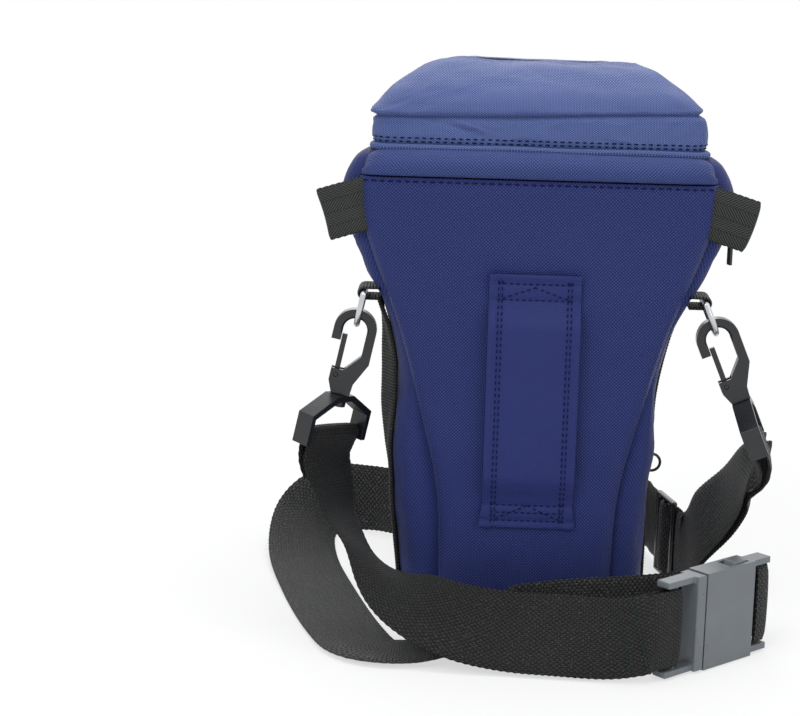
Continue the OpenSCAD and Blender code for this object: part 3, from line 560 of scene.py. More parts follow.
def sweep_round(name, points, radius, material, body, replaces=(), closed=True):
    """A round cord along points, in metres; it joins its own start where it is closed."""
    sides, count = 10, len(points)
    rows = count if closed else count - 1

    def place(i, j):
        k = j % count
        before = points[(k - 1) % count if closed else max(k - 1, 0)]
        after = points[(k + 1) % count if closed else min(k + 1, count - 1)]
        along = (after - before).normalized()
        side = along.cross(Vector((0, 0, 1)))
        side = side.normalized() if side.length > 0.05 else Vector((1, 0, 0))
        up = side.cross(along)
        a = 2 * math.pi * i / sides
        return points[k] + (side * math.cos(a) + up * math.sin(a)) * radius * mm

    step = (points[1] - points[0]).length
    girth = 2 * math.pi * radius * mm
    bm = cloth_grid(sides, rows, place, lambda i, j: (girth * i / sides, step * j))
    sew_shut(bm, 0.01)
    if not closed:
        close_up(bm)
    return make_piece(name, bm, material, body, replaces)


SETTLE_FRAMES, FILL_PRESSURE = 20, 3


def settle(piece, held, cap, slack):
    """Lets the cloth swell over its filling: held(x, y, z) pins a point, and none moves by the cap in mm."""
    body = bpy.data.objects.new("settling_cloth", piece.data.copy())
    scene.collection.objects.link(body)
    pins = body.vertex_groups.new(name="held")
    pins.add([v.index for v in body.data.vertices if held(*(v.co / mm))], 1.0, "REPLACE")
    cloth = body.modifiers.new("cloth", "CLOTH")
    cloth.point_cache.frame_start, cloth.point_cache.frame_end = 1, SETTLE_FRAMES
    settings = cloth.settings
    settings.vertex_group_mass = "held"
    settings.quality = 6
    settings.mass = 0.0004
    settings.use_pressure = True
    settings.uniform_pressure_force = FILL_PRESSURE
    settings.tension_stiffness = settings.compression_stiffness = 8
    settings.shear_stiffness = 3
    settings.bending_stiffness = 0.02
    settings.shrink_min = -slack
    settings.effector_weights.gravity = 0
    for step in range(1, SETTLE_FRAMES + 1):
        scene.frame_set(step)
    soft = body.evaluated_get(bpy.context.evaluated_depsgraph_get()).data
    for vert, moved in zip(piece.data.vertices, soft.vertices):
        way = moved.co - vert.co
        vert.co += way * (cap * mm / (cap * mm + way.length))
    flat = body.data
    bpy.data.objects.remove(body)
    bpy.data.meshes.remove(flat)
    scene.frame_set(1)


# ---- Sizes of the body ----
PANEL_BASE_HALF, PANEL_TOP_HALF, PANEL_TOP_Z = 41, 83, 223
WRAP_BASE_HALF, WRAP_TOP_HALF, ZIP_Z = 57.5, 92, 211
BACK_Y, PANEL_T, SEAM = 54, 7, 0.3
PANEL_RIM_Y, PANEL_ROUND = 48.6, 13               # the panel's face at its seam, and its rounding's width
WRAP_BACK = -BACK_Y + PANEL_T + SEAM
WRAP_FOOT, WRAP_HEAD, WRAP_WALL = 5.3, 209, 5
BASE_LOW, BASE_T, BASE_ROUND = 0.2, 4.6, 1.8
FRONT_BASE_Y, FRONT_TOP_Y = 52, 88
FRONT_BASE_HALF, FRONT_TOP_HALF, FRONT_CORNER = 50, 62, 34
# How far the panel and the wrap flare at each share of their height, 1 at the top
PANEL_FLARE = [(0, 0), (0.25, 0.02), (0.37, 0.09), (0.5, 0.26), (0.66, 0.49), (0.73, 0.62), (0.89, 0.93),
               (1, 1)]
WRAP_FLARE = [(0, 0), (0.55, 0), (0.69, 0.16), (0.78, 0.39), (0.84, 0.58), (0.92, 0.8), (1, 1)]
LOOP_W, LOOP_L, LOOP_TOP, LOOP_T, LOOP_GAP, LOOP_SEWN = 43, 122, 180, 2.4, 5, 12
LOOP_LOW = LOOP_TOP - LOOP_L
LOOP_HEAD_ROWS = (LOOP_TOP - 4.5, LOOP_TOP - 12)  # heights of the rows of stitches across the loop
LOOP_FOOT_ROWS = (LOOP_LOW + 11, LOOP_LOW + 3.5)
LOOP_SIDE_ROWS = (4.4, 6.2)                       # in from the loop's edges
STITCH_Z = 221.4                                  # topstitched row along the head of the panel


def panel_half(z):
    return blend(PANEL_BASE_HALF, PANEL_TOP_HALF, through(PANEL_FLARE, z / PANEL_TOP_Z))


def wrap_half(z):
    return blend(WRAP_BASE_HALF, WRAP_TOP_HALF, through(WRAP_FLARE, z / ZIP_Z))


def plan_ring(half, front_half, back, front, back_r, front_r, count):
    """A closed plan from the middle of the back round by the right: even points with distances."""
    c1, c2 = Vector((half - back_r, back + back_r)), Vector((front_half - front_r, front - front_r))
    along = c2 - c1
    turn = math.atan2(along.y, along.x) - math.acos((back_r - front_r) / along.length)
    arc = 14
    line = [Vector((0, back))]
    for centre, radius, start, end in ((c1, back_r, -math.pi / 2, turn), (c2, front_r, turn, math.pi / 2)):
        line += [centre + radius * Vector((math.cos(a), math.sin(a)))
                 for a in (blend(start, end, k / arc) for k in range(arc + 1))]
    line.append(Vector((0, front)))
    right = spread_evenly(line, count // 2)
    length = right[-1][1]
    return right + [(Vector((-p.x, p.y)), 2 * length - run) for p, run in reversed(right[:-1])]


def wrap_ring(z, count):
    half, share = wrap_half(z), z / ZIP_Z
    back_r = max(5, half - panel_half(z))
    return plan_ring(half, blend(FRONT_BASE_HALF, FRONT_TOP_HALF, share), WRAP_BACK,
                     blend(FRONT_BASE_Y, FRONT_TOP_Y, share), back_r, FRONT_CORNER, count)


def outward(ring, i):
    """Unit way out of a ring that runs anticlockwise."""
    n = len(ring) - 1
    along = ring[(i + 1) % n][0] - ring[(i - 1) % n][0]
    return Vector((along.y, -along.x)).normalized()


# ---- Padded back panel ----
def on_back(depth, row):
    """A row of stitches just off a face that looks backwards, through its (x, z) places."""
    return [(point(x, -depth(x, z) - 0.1, z), Vector((0, -1, 0))) for x, z in row]


def panel_depth(x, z):
    """How far the panel's face stands out at this place, from its seam to its crown."""
    edge = min(panel_half(z) - abs(x), z + 1)
    crown = math.sqrt(max(0, 1 - (1 - min(max(edge, 0) / PANEL_ROUND, 1)) ** 2))
    depth = PANEL_RIM_Y + (BACK_Y - PANEL_RIM_Y) * crown
    depth += 1.9 * (1 - (x / panel_half(z)) ** 2) * math.sin(math.pi * min(z / PANEL_TOP_Z, 1))
    depth -= 1.1 * hump(z, STITCH_Z, 3.4) * ease((panel_half(z) - abs(x)) / 6)
    depth -= 0.8 * ease((z - STITCH_Z) / 2)
    sewn = max(hump(z, LOOP_TOP - 6, 16), hump(z, LOOP_LOW + 6, 16))
    depth -= 1.0 * sewn * ease((LOOP_W / 2 + 9 - abs(x)) / 12)
    return depth + 0.6 * ripple(x, 0, z, 38) + 0.25 * ripple(x, 0, z, 14, 3)


def make_back_panel():
    """The crowned panel with its rim drawn in to the wrap, and the topstitch along its head."""
    columns, rows = 72, 112

    def spot(i, j):
        z = PANEL_TOP_Z * j / rows
        return panel_half(z) * (2 * i / columns - 1), z

    def place(i, j):
        x, z = spot(i, j)
        return point(x, -panel_depth(x, z), z)

    bm = cloth_grid(columns, rows, place, lambda i, j: Vector(spot(i, j)) * mm)
    for vert in new_corners(bmesh.ops.extrude_edge_only(bm, edges=open_edges(bm))):
        vert.co.y = -(BACK_Y - PANEL_T) * mm
    close_up(bm)
    piece = make_piece("padded_back_panel", bm, NYLON, "bag", ["back_panel"])
    reach = panel_half(STITCH_Z) - 2.5
    row = [(blend(-1, 1, k / 60) * reach, STITCH_Z) for k in range(61)]
    stitch_rows("panel_topstitch", [on_back(panel_depth, row)], "bag", stitch=2.8, thick=0.5)


# ---- Padded wrap: sides and front in one sheet ----
def measure(row):
    """Distance along a row of points from its middle, so that both halves of the cloth match."""
    run = distances(row)
    return [r - run[-1] / 2 for r in run]


WRAP_COLUMNS = 220
# How much more the wrap swells on the left: (height, swell)
LEFT_SWELL = [(5, 0), (35, 2.5), (70, 6), (105, 6.5), (140, 4.5), (170, 1.5), (209, 0)]


def wrap_point(z, ring, i):
    """The wrap's face at one step of its ring; it swells between its seams, more on the left."""
    p = ring[i][0]
    out = outward(ring, i)
    seam_run = min(ring[i][1], ring[-1][1] - ring[i][1]) - panel_half(z)
    low = ease((190 - z) / 120)
    lift = blend(1.0, 3.4, low) * math.sin(math.pi * min(max(seam_run / 24, 0), 1))    # roll at the seam
    lift += 1.5 * math.sin(math.pi * (z - WRAP_FOOT) / (WRAP_HEAD - WRAP_FOOT)) * ease((seam_run - 10) / 30)
    if p.x < 0:
        lift += through(LEFT_SWELL, z) * ease(seam_run / 22) * ease((110 - seam_run) / 60)
    lift -= 2.0 * ease((z - WRAP_HEAD + 4) / 4) + 1.5 * ease((WRAP_FOOT + 5 - z) / 5)
    lift += (0.8 * ripple(p.x, p.y, z, 45, 5) + 0.35 * ripple(p.x, p.y, z, 17, 9)) * ease(seam_run / 10)
    if seam_run < 0:
        lift = 0
    p = p + out * lift
    return point(p.x, p.y, z)


def make_body_wrap():
    """The padded cloth round both sides and the front, swollen over its foam."""
    columns, rows = WRAP_COLUMNS, 64
    levels = [blend(WRAP_FOOT, WRAP_HEAD, j / rows) for j in range(rows + 1)]
    rings = [wrap_ring(z, columns) for z in levels]
    spots = [[wrap_point(z, ring, i) for i in range(columns + 1)] for z, ring in zip(levels, rings)]
    runs = [measure(row) for row in spots]
    bm = cloth_grid(columns, rows, lambda i, j: spots[j][i], lambda i, j: (runs[j][i], levels[j] * mm))
    sew_shut(bm)
    piece = make_piece("padded_wrap", bm, NYLON, "bag", ["body_wrap"], wall=WRAP_WALL)

    def sewn(x, y, z):
        return z < WRAP_FOOT + 4 or z > WRAP_HEAD - 5 or y < WRAP_BACK + 1.5

    settle(piece, sewn, cap=1.8, slack=0.012)


def make_base_panel():
    """The bag's base, a slab of the wrap's own plan with rounded edges."""
    ring = wrap_ring(0, 96)[:-1]
    bm = bmesh.new()
    foot = bm.faces.new([bm.verts.new(point(p.x, p.y, BASE_LOW)) for p, run in ring])
    top = new_corners(bmesh.ops.extrude_face_region(bm, geom=[foot]))
    bmesh.ops.translate(bm, verts=top, vec=point(0, 0, BASE_T))
    bmesh.ops.recalc_face_normals(bm, faces=bm.faces)
    flat_edges = [e for e in bm.edges if abs(e.verts[0].co.z - e.verts[1].co.z) < 0.1 * mm]
    bmesh.ops.bevel(bm, geom=flat_edges, offset=BASE_ROUND * mm, segments=4, profile=0.5, affect="EDGES",
                    material=-1)
    bm.normal_update()
    lay_cloth(bm)
    make_piece("base_cloth", bm, NYLON, "bag", ["base_panel"])


# ---- Belt loop ----
def loop_out(x, z):
    """The outer face of the belt loop: sewn flat at both ends, free in between."""
    lift = ease(min((z - LOOP_LOW - LOOP_SEWN) / 14, (LOOP_TOP - LOOP_SEWN - z) / 14))
    out = BACK_Y + SEAM + LOOP_T + (LOOP_GAP - 0.6) * lift
    out += 0.6 * hump(abs(x), LOOP_W / 2 - 2.2, 2.4) - 0.6 * hump(abs(x), LOOP_W / 2 - 5.2, 2.2)
    for row in LOOP_HEAD_ROWS + LOOP_FOOT_ROWS:
        out -= 0.6 * hump(z, row, 2.0)
    return out + 0.5 * hump(z, LOOP_TOP - 1, 2) + 0.15 * ripple(x, 0, z, 12, 2)


def make_belt_loop():
    """The belt loop, a little flared at its foot, with rows of stitches down its sides and at both ends."""
    columns, rows = 40, 120

    def spot(i, j):
        flare = 1.2 * ease((12 - LOOP_L * j / rows) / 12)
        return (LOOP_W / 2 + flare) * (2 * i / columns - 1), blend(LOOP_LOW, LOOP_TOP, j / rows)

    def place(i, j):
        x, z = spot(i, j)
        return point(x, -loop_out(x, z), z)

    bm = cloth_grid(columns, rows, place, lambda i, j: Vector(spot(i, j)) * mm)
    make_piece("belt_loop_band", bm, FINE_NYLON, "bag", ["belt_loop"], wall=LOOP_T - 0.2,
               rounding=0.6)
    outer, inner = (LOOP_W / 2 - inset for inset in LOOP_SIDE_ROWS)
    lines = [[(x, blend(LOOP_LOW + 3, LOOP_TOP - 3, k / 50)) for k in range(51)]
             for x in (-outer, -inner, inner, outer)]
    lines += [[(blend(-outer, outer, k / 8), z) for k in range(9)]
              for z in (*LOOP_HEAD_ROWS, LOOP_FOOT_ROWS[0], LOOP_LOW + 7.5, LOOP_FOOT_ROWS[1])]
    lines += [[(side * blend(outer, 0, k / 16), blend(foot, peak, k / 16)) for k in range(17)]
              for foot, peak in ((LOOP_HEAD_ROWS[1], LOOP_TOP - 6), reversed(LOOP_FOOT_ROWS))
              for side in (-1, 1)]
    stitch_rows("belt_loop_stitches", [on_back(loop_out, line) for line in lines], "bag",
                stitch=2.0, gap=1.0, thick=0.4)


# ---- Webbing down each side ----
SIDES = ((-1, "left"), (1, "right"))
SIDE_WEB_FOOT, SIDE_WEB_HEAD = 6, 164
# How far the webbing bows off each side: (height, lift)
SIDE_WEB_LIFT = {-1: [(6, 0.6), (25, 2), (42, 4.3), (60, 7.5), (78, 10.5), (95, 13.2), (114, 14.6),
                      (133, 12.3), (150, 8), (158, 5), (164, 2)],
                 1: [(6, 0.6), (164, 0.6)]}
WEB_RIB, WEB_OFF_WRAP = 1.5, 2.0


def wrap_side(side, z):
    """The wrap's face on one side at this height: how deep each point lies, and how far out."""
    ring = wrap_ring(z, WRAP_COLUMNS)
    spots = [wrap_point(z, ring, i) / mm for i in range(len(ring)) if ring[i][0].x * side > 30]
    return sorted((p.y, abs(p.x)) for p in spots)


def face_at(spots, y):
    """How far out the face lies at this depth."""
    for (y0, x0), (y1, x1) in zip(spots, spots[1:]):
        if y0 <= y <= y1:
            return blend(x0, x1, (y - y0) / max(y1 - y0, 1e-6))
    return 0.0


def make_side_webbing(side, name):
    """Ribbed webbing from the ring to the base; on the left it bows off the bag and turns outwards."""
    length = SIDE_WEB_HEAD - SIDE_WEB_FOOT
    columns, rows = 10, int(length / WEB_RIB * 4)
    width, slope, start = (14, 0.5, -39) if side < 0 else (12, 0.0, -30)
    levels = [blend(SIDE_WEB_FOOT, SIDE_WEB_HEAD, j / rows) for j in range(rows + 1)]
    faces = [wrap_side(side, z) for z in levels]

    def place(i, j):
        z, t = levels[j], i / columns
        y = start + width * math.sqrt(1 - slope * slope) * t
        x = wrap_half(z) + through(SIDE_WEB_LIFT[side], z) - width * slope * (1 - t)
        x = max(x, face_at(faces[j], y) + WEB_OFF_WRAP)
        rib = 0.3 * abs(math.sin(math.pi * z / WEB_RIB)) - 0.5 * (2 * t - 1) ** 8
        return point(side * (x + rib), y, z)

    bm = cloth_grid(columns, rows, place, lambda i, j: (width * i / columns * mm, length * j / rows * mm))
    make_piece(name + "_band", bm, SIDE_WEBBING, "bag", [name], wall=1.6,
               flip=side < 0)


make_back_panel()
make_body_wrap()
make_base_panel()
make_belt_loop()
for side, name in SIDES:
    make_side_webbing(side, "side_webbing_" + name)


# ---- Strap: webbing along the routes of the plain solids ----
WEB_W, WEB_T, BAR_R = 38, 1.7, 3.3                # bar radius to the middle of the webbing
RING_Y = -37.7                                    # depth of the rings, hooks and swivel bases
# Origin of each swivel base, under its hook, and the turn and tilt that it hangs at
ANCHOR = {-1: Vector((-90.926, RING_Y, 116.576)), 1: Vector((100.35, RING_Y, 119.548))}
BASE_TURN = {-1: math.radians(55), 1: math.radians(85)}
BASE_TILT = {-1: math.radians(12), 1: math.radians(23)}
BASE_BAR_Z, MALE_BAR_X, FEMALE_BAR_X = -20, 8, 69.5
HUMP = 2.7                                        # half the height of the webbing's hump in the slider
SLIDER_END = 16.2                                 # where the webbing leaves the slider
TAIL_UP = 1.1                                     # half the gap between the doubled strap's layers


def frame_at(origin, tilt, turn):
    """The place of a buckle, slider or swivel base, whose own sizes start at its origin."""
    return (Matrix.Translation(origin) @ Matrix.Rotation(tilt, 4, "Y")
            @ Matrix.Rotation(turn, 4, "Z"))


BASE_FRAME = {side: frame_at(ANCHOR[side], -side * BASE_TILT[side], BASE_TURN[side]) for side in (-1, 1)}
BUCKLE_FRAME = frame_at(Vector((62, -98, 24)), 0, math.radians(43))
SLIDER_FRAME = frame_at(Vector((78, 60, 22)), 0, math.radians(104))


# A station is a point, the way across the webbing's width and half the gap between two layers.
def free(x, y, z, across=(0, 0, 1), gap=0):
    return Vector((x, y, z)), Vector(across), gap


def framed(place, x, y, gap=0, z=0, across=(0, 0, 1)):
    return place @ Vector((x, y, z)), Vector(across), gap


def base_station(side, z, gap):
    place = BASE_FRAME[side]
    return place @ Vector((0, 0, z)), place.to_3x3() @ Vector((1, 0, 0)), gap


FRONT_ROUTE = [
    base_station(-1, BASE_BAR_Z, BAR_R), base_station(-1, BASE_BAR_Z - 12, 1.6),
    free(-94, -40, 72, (0.48, 0.87, -0.1), 1), free(-90, -46, 58, (0.3, 0.94, -0.1), 1),
    free(-80, -57, 45, (0.1, 0.97, -0.12), 1), free(-66, -70, 33, (0.05, 0.93, 0.25), 1),
    free(-48, -82, 25.5, (0, 0.78, 0.6), 1), free(-30, -89, 21, (0, 0.62, 0.78), 1),
    free(-8, -93, 18.8, (0, 0.48, 0.88), 1), free(16, -97, 19.2, (0, 0.36, 0.93), 1),
    free(36, -101, 20, (0, 0.2, 0.98), 1), free(49, -103, 22, (0, 0.05, 1), 1.2),
    framed(BUCKLE_FRAME, -6, 0, 1.6), framed(BUCKLE_FRAME, MALE_BAR_X, 0, BAR_R)]
REAR_ROUTE = [
    framed(BUCKLE_FRAME, FEMALE_BAR_X, BAR_R), framed(BUCKLE_FRAME, 61.5, 6),
    framed(BUCKLE_FRAME, 48, 10), free(80, -58, 22), free(54, -63, 20), free(28, -69, 19.6),
    free(10, -70, 19.2, (0, -0.2, 0.98)), free(-8, -68.5, 17.4, (-0.03, -0.5, 0.86)),
    free(-26, -74.5, 7.6, (-0.03, -0.95, 0.28)), free(-46, -78, 3, (-0.15, -0.98, 0.05)),
    free(-72, -76, 2, (-0.8, -0.6, 0.03)), free(-86, -48, 1.6, (-0.94, -0.33, 0)),
    free(-103, 12, 1.6, (-0.95, -0.29, 0)), free(-115, 66, 3.6, (-0.97, -0.12, 0.13)),
    free(-116, 104, 11.5, (-0.82, 0.1, 0.55)), free(-104, 124, 18, (-0.25, 0.3, 0.92)),
    free(-82, 124, 19.2), free(-58, 114, 19.2), free(-20, 108, 19.2), free(20, 112, 19.2),
    free(48, 116, 19.6), *(framed(SLIDER_FRAME, x, -HUMP) for x in (46, 30, SLIDER_END))]
ADJUST_ROUTE = [
    *(framed(SLIDER_FRAME, -x, TAIL_UP - HUMP, TAIL_UP) for x in (SLIDER_END, 20, 25)),
    framed(SLIDER_FRAME, -34, TAIL_UP - HUMP, 1.2, 5, (0, 0.2, 1)),
    free(91, 10, 43, (0, 0.45, 0.9), 1.6), free(101, -10, 62, (0, 0.7, 0.7), 2),
    free(107, -28, 80, (0, 0.9, 0.4), 2.2), base_station(1, BASE_BAR_Z - 12, 2.4),
    base_station(1, BASE_BAR_Z, BAR_R)]


def catmull(a, b, c, d, t):
    return (2 * b + (c - a) * t + (2 * a - 5 * b + 4 * c - d) * t * t
            + (3 * b - a - 3 * c + d) * t ** 3) * 0.5


def smooth_route(route):
    """The route with more stations, each with the ways out of the webbing and along it added."""
    last, fine, steps = len(route) - 1, [], 6
    for i in range(last):
        four = [route[max(i - 1, 0)], route[i], route[i + 1], route[min(i + 2, last)]]
        fine += [tuple(catmull(*(s[k] for s in four), j / steps) for k in range(3)) for j in range(steps)]
    fine.append(route[-1])
    stations = []
    for i, (p, across, gap) in enumerate(fine):
        along = (fine[min(i + 1, len(fine) - 1)][0] - fine[max(i - 1, 0)][0]).normalized()
        across = (across - along * across.dot(along)).normalized()
        stations.append((p, across, gap, along.cross(across), along))
    return stations


def layer(stations, side):
    """One layer's path: 1 is the outer layer, -1 the inner one and 0 the middle where there is one."""
    return [(p + out * gap * side, across) for p, across, gap, out, along in stations]


def half_turn(station, ahead):
    """Round a bar from the outer layer to the inner one; ahead is 1 at the far end of a route."""
    p, across, gap, out, along = station
    return [(p + (out * math.cos(a) + along * ahead * math.sin(a)) * BAR_R, across)
            for a in (math.pi * k / 10 for k in range(1, 10))]


# Webbing's section: place across the width and face, from -1 to 1
WEB_SECTION = ([(-1 + 2 * k / 12, 1) for k in range(13)] + [(1.0, 0)]
               + [(1 - 2 * k / 12, -1) for k in range(13)] + [(-1.0, 0), (-1.0, 1)])


def make_webbing(name, path, material, replaces, body="bag", width=WEB_W, thick=WEB_T, cup=0.5,
                 step=0.75):
    """A length of webbing with rounded selvedges along a path of points and ways across."""
    run = distances([p for p, across in path])
    rows = max(8, int(run[-1] / step))
    spots = [(path[k][0].lerp(path[k + 1][0], share), path[k][1].lerp(path[k + 1][1], share))
             for k, share, want in even_steps(run, rows)]
    spans = [(spots[min(j + 2, rows)][0] - spots[max(j - 2, 0)][0]).normalized() for j in range(rows + 1)]

    def place(i, j):
        p, across = spots[j]
        across = (across - spans[j] * across.dot(spans[j])).normalized()
        out = spans[j].cross(across)
        a, h = WEB_SECTION[i]
        scallop = 0.18 * math.sin(2 * math.pi * run[-1] * j / rows / 3)
        edge = 1 - 0.75 * abs(a) ** 10
        bow = cup * (1 - a * a) - cup * 0.5
        reach = width / 2 - 0.2 + scallop - (0.25 if h else 0)
        return (p + across * a * reach + out * (h * thick / 2 * edge + bow)) * mm

    def flat(i, j):
        return (WEB_SECTION[i][0] + 1) * width / 2 * mm, run[-1] * j / rows * mm

    bm = cloth_grid(len(WEB_SECTION) - 1, rows, place, flat)
    sew_shut(bm, 0.01)
    close_up(bm)
    return make_piece(name, bm, material, body, replaces)


def sewn_across(stations, side, name, rows):
    """Rows of stitches across the webbing at these stations, on its outer or inner face."""
    lines = []
    for k in rows:
        p, across, gap, out, along = stations[k]
        face = out * side
        lines.append([((p + face * (gap + 1.3) + across * (WEB_W / 2 - 3) * (2 * n / 14 - 1)) * mm, face)
                      for n in range(15)])
    stitch_rows(name, lines, "bag", STRAP_THREAD, stitch=1.6, gap=1.0, thick=0.4)


def there_and_back(stations, start, end):
    """Out along the outer layer, round a bar at the end, and back along the inner one."""
    return layer(stations, 1) + half_turn(stations[-1], 1) + layer(stations[start:end], -1)[::-1]


def make_front_strap():
    front = smooth_route(FRONT_ROUTE)
    folded_in = layer(front[:10], -1)[::-1] + half_turn(front[0], -1)[::-1]
    make_webbing("front_strap", folded_in + there_and_back(front, -11, None), WEBBING, ["strap_front"])
    sewn_across(front, 1, "strap_stitches_hook", (9, 12))
    sewn_across(front, -1, "strap_stitches_buckle", (-15, -11))
    sewn_across(front, 1, "strap_stitches_front", (-15, -11))


def make_rear_strap():
    """From round the buckle's bar to the slider; its end is a piece of its own, with no body."""
    bar, turn, up = BUCKLE_FRAME @ Vector((FEMALE_BAR_X, 0, 0)), BUCKLE_FRAME.to_3x3(), Vector((0, 0, 1))
    wrapped = [(bar + turn @ (Vector((math.sin(a), -math.cos(a), 0)) * BAR_R), up)
               for a in (math.pi * k / 10 for k in range(11))]
    tail = [(bar + turn @ Vector((-6, -BAR_R + 0.4, 0)), up), (bar + turn @ Vector((-3, -BAR_R, 0)), up)]
    run = layer(smooth_route(REAR_ROUTE), 0)
    cut = next(k for k, (p, across) in enumerate(run) if p.x > 47 and p.y > 100)
    make_webbing("rear_strap", tail + wrapped + run[1:cut + 1], COARSE_WEBBING, ["strap_rear"])
    end = make_webbing("rear_strap_end", run[cut:], COARSE_WEBBING, ["strap_rear"], None)
    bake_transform(end)


def make_doubled_strap():
    """Two layers from the slider round the right swivel base's bar."""
    path = there_and_back(smooth_route(ADJUST_ROUTE), 0, None)
    doubled = make_webbing("doubled_strap", path, COARSE_WEBBING, ["strap_adjuster"], None)
    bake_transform(doubled)


def make_bridge():
    """The hump of webbing over the slider's middle bar."""
    half = [(16, -HUMP), (12, -HUMP), (8.6, -HUMP + 0.3), (5.6, 0), (2.4, HUMP - 0.3)]
    hump_line = half + [(0, HUMP)] + [(-x, y) for x, y in reversed(half)]
    bridge = smooth_route([framed(SLIDER_FRAME, x, y) for x, y in hump_line])
    make_webbing("strap_over_bar", layer(bridge, 0), COARSE_WEBBING, ["strap_bridge"], "slider", cup=0)


make_front_strap()
make_rear_strap()
make_doubled_strap()
make_bridge()


# ---- Small soft pieces on the body ----
def make_pull_tab(side, name):
    """Twill tape folded back on itself at each end of the lid's zip."""
    tilt = math.radians(17)
    along = Vector((side * math.cos(tilt), 0, -math.sin(tilt)))
    across = Vector((side * math.sin(tilt), 0, math.cos(tilt)))
    root = Vector((side * 77.8, 0, ZIP_Z))
    front, back, fold, reach, droop = -49.7, -47.6, 1.05, 21.4, 1.2

    def face(y):
        return [(root + along * (reach * t) + Vector((0, y - droop * t ** 2, 0)), across)
                for t in (k / 8 for k in range(9))]

    tip = root + along * reach + Vector((0, (front + back) / 2 - droop, 0))
    bend = [(tip + along * fold * math.sin(a) + Vector((0, -fold * math.cos(a), 0)), across)
            for a in (math.pi * k / 6 for k in range(1, 6))]
    make_webbing(name + "_tape", face(front) + bend + face(back)[::-1], TWILL, [name], width=25,
                 thick=1.3, cup=0.8, step=1.0)


def make_ring_tab(side, name):
    """Webbing folded round the ring's straight bar, with both ends sewn into the bag."""
    bar, turn = Vector((side * 80.208, RING_Y, 167)), 2.55
    across = Vector((0, 1, 0))

    def end(z):
        return [(bar + Vector((-side * x, 0, z)), across) for x in (7.5, 5, 2.5, 0)]

    loop = [(bar + Vector((side * turn * math.sin(a), 0, turn * math.cos(a))), across)
            for a in (math.pi * k / 10 for k in range(1, 10))]
    make_webbing(name + "_webbing", end(turn) + loop + end(-turn)[::-1], SIDE_WEBBING, [name], width=19,
                 thick=1.4, cup=0, step=0.6)


def zip_line(drawn, count):
    """The open line of the zip round the bag's sides and front, drawn in by so many millimetres."""
    ring = plan_ring(WRAP_TOP_HALF - drawn, FRONT_TOP_HALF - drawn, WRAP_BACK + drawn,
                     FRONT_TOP_Y - drawn, 9 - drawn, FRONT_CORNER - drawn, count)
    return [p for p, run in ring if p.y > WRAP_BACK + 10]


def make_teeth(name, spots, body, thick=1.5, wide=0.75, tall=0.9):
    """Small blunt teeth: each spot is a point, the way along the zip and the way across it."""
    bm = bmesh.new()
    for p, along, across in spots:
        out = along.cross(across)
        turn = Matrix((along, across, out)).transposed().to_4x4()
        size = Matrix.Diagonal((wide * mm, tall * mm, thick * mm, 1))
        bmesh.ops.create_cube(bm, size=1, matrix=Matrix.Translation(p) @ turn @ size)
    bmesh.ops.bevel(bm, geom=bm.edges[:], offset=0.15 * mm, segments=1, profile=0.5, affect="EDGES",
                    material=-1)
    return make_piece(name, bm, PLASTIC, body)


def make_zip():
    """Two rows of teeth that mesh, one on the bag and one on the lid, and their tapes."""
    line = zip_line(0.9, 620)
    spots = {0: [], 1: []}
    for k in range(1, len(line) - 1):
        along = (line[k + 1] - line[k - 1]).normalized()
        spots[k % 2].append((point(line[k].x, line[k].y, ZIP_Z + (0.45 if k % 2 else -0.45)),
                             Vector((along.x, along.y, 0)), Vector((0, 0, 1))))
    make_teeth("body_zip_teeth", spots[0], "bag")
    make_teeth("lid_zip_teeth", spots[1], "lid")
    moulded("body_zip_tape", "bag", TAPE, 0.2)
    moulded("lid_zip_tape", "lid", TAPE, 0.2)


for side, name in SIDES:
    make_pull_tab(side, "pull_tab_" + name)
    make_ring_tab(side, "ring_tab_" + name)
make_zip()
moulded("small_tab", "bag", SIDE_WEBBING, 0.8)
moulded("small_wire_loop", "bag", PLASTIC, 0.1, crease=80)
moulded("body_lining", "bag", LINING, 0.4, crease=50)
moulded("base_board", "bag", BOARD, 0.5)
moulded("camera_cradle", "bag", LINING, 3.0)
moulded("lid_lining", "lid", LINING, 0.4, crease=50)


# ---- Sizes of the lid ----
LID_LOW, LID_HIGH, LID_H = 213.1, 236, 25
LID_TOP_HALF, LID_BACK_R = 80, 9
LID_SHOULDER = 6.0                                # radius of the shoulder that turns in under the pocket
LID_FOLD_IN_Y = -47.4                             # where the lid's back fold is sewn to the band
POCKET_Z, POCKET_H, POCKET_FRONT_Y = 236.3, 38, FRONT_TOP_Y - 8
POCKET_CREST = 11.4                               # how far the flat top runs in from its rim
POCKET_CLIMB = 62                                 # cloth from the pocket's foot to the rim of its top
# Pocket's outline: height share, then how far its sides, back and front draw in
POCKET = [(0, 4.0, 0.6, 3), (0.14, 3.0, 1.2, 2), (0.36, 3.4, 3.6, 4), (0.5, 4.6, 5.6, 8), (0.7, 11, 14, 18),
          (0.84, 19, 28, 30), (0.95, 26, 42, 42), (1, 33, 52, 50)]


def lid_ring(z, count, drawn=0):
    """Plan of the lid's side band, drawn in by so many millimetres."""
    share = ((z - ZIP_Z) / LID_H) ** 2
    return plan_ring(WRAP_TOP_HALF - (WRAP_TOP_HALF - LID_TOP_HALF) * share - drawn,
                     FRONT_TOP_HALF - 6 * share - drawn, WRAP_BACK + 0.1 + drawn,
                     FRONT_TOP_Y - 6 * share - drawn, LID_BACK_R, FRONT_CORNER - drawn, count)


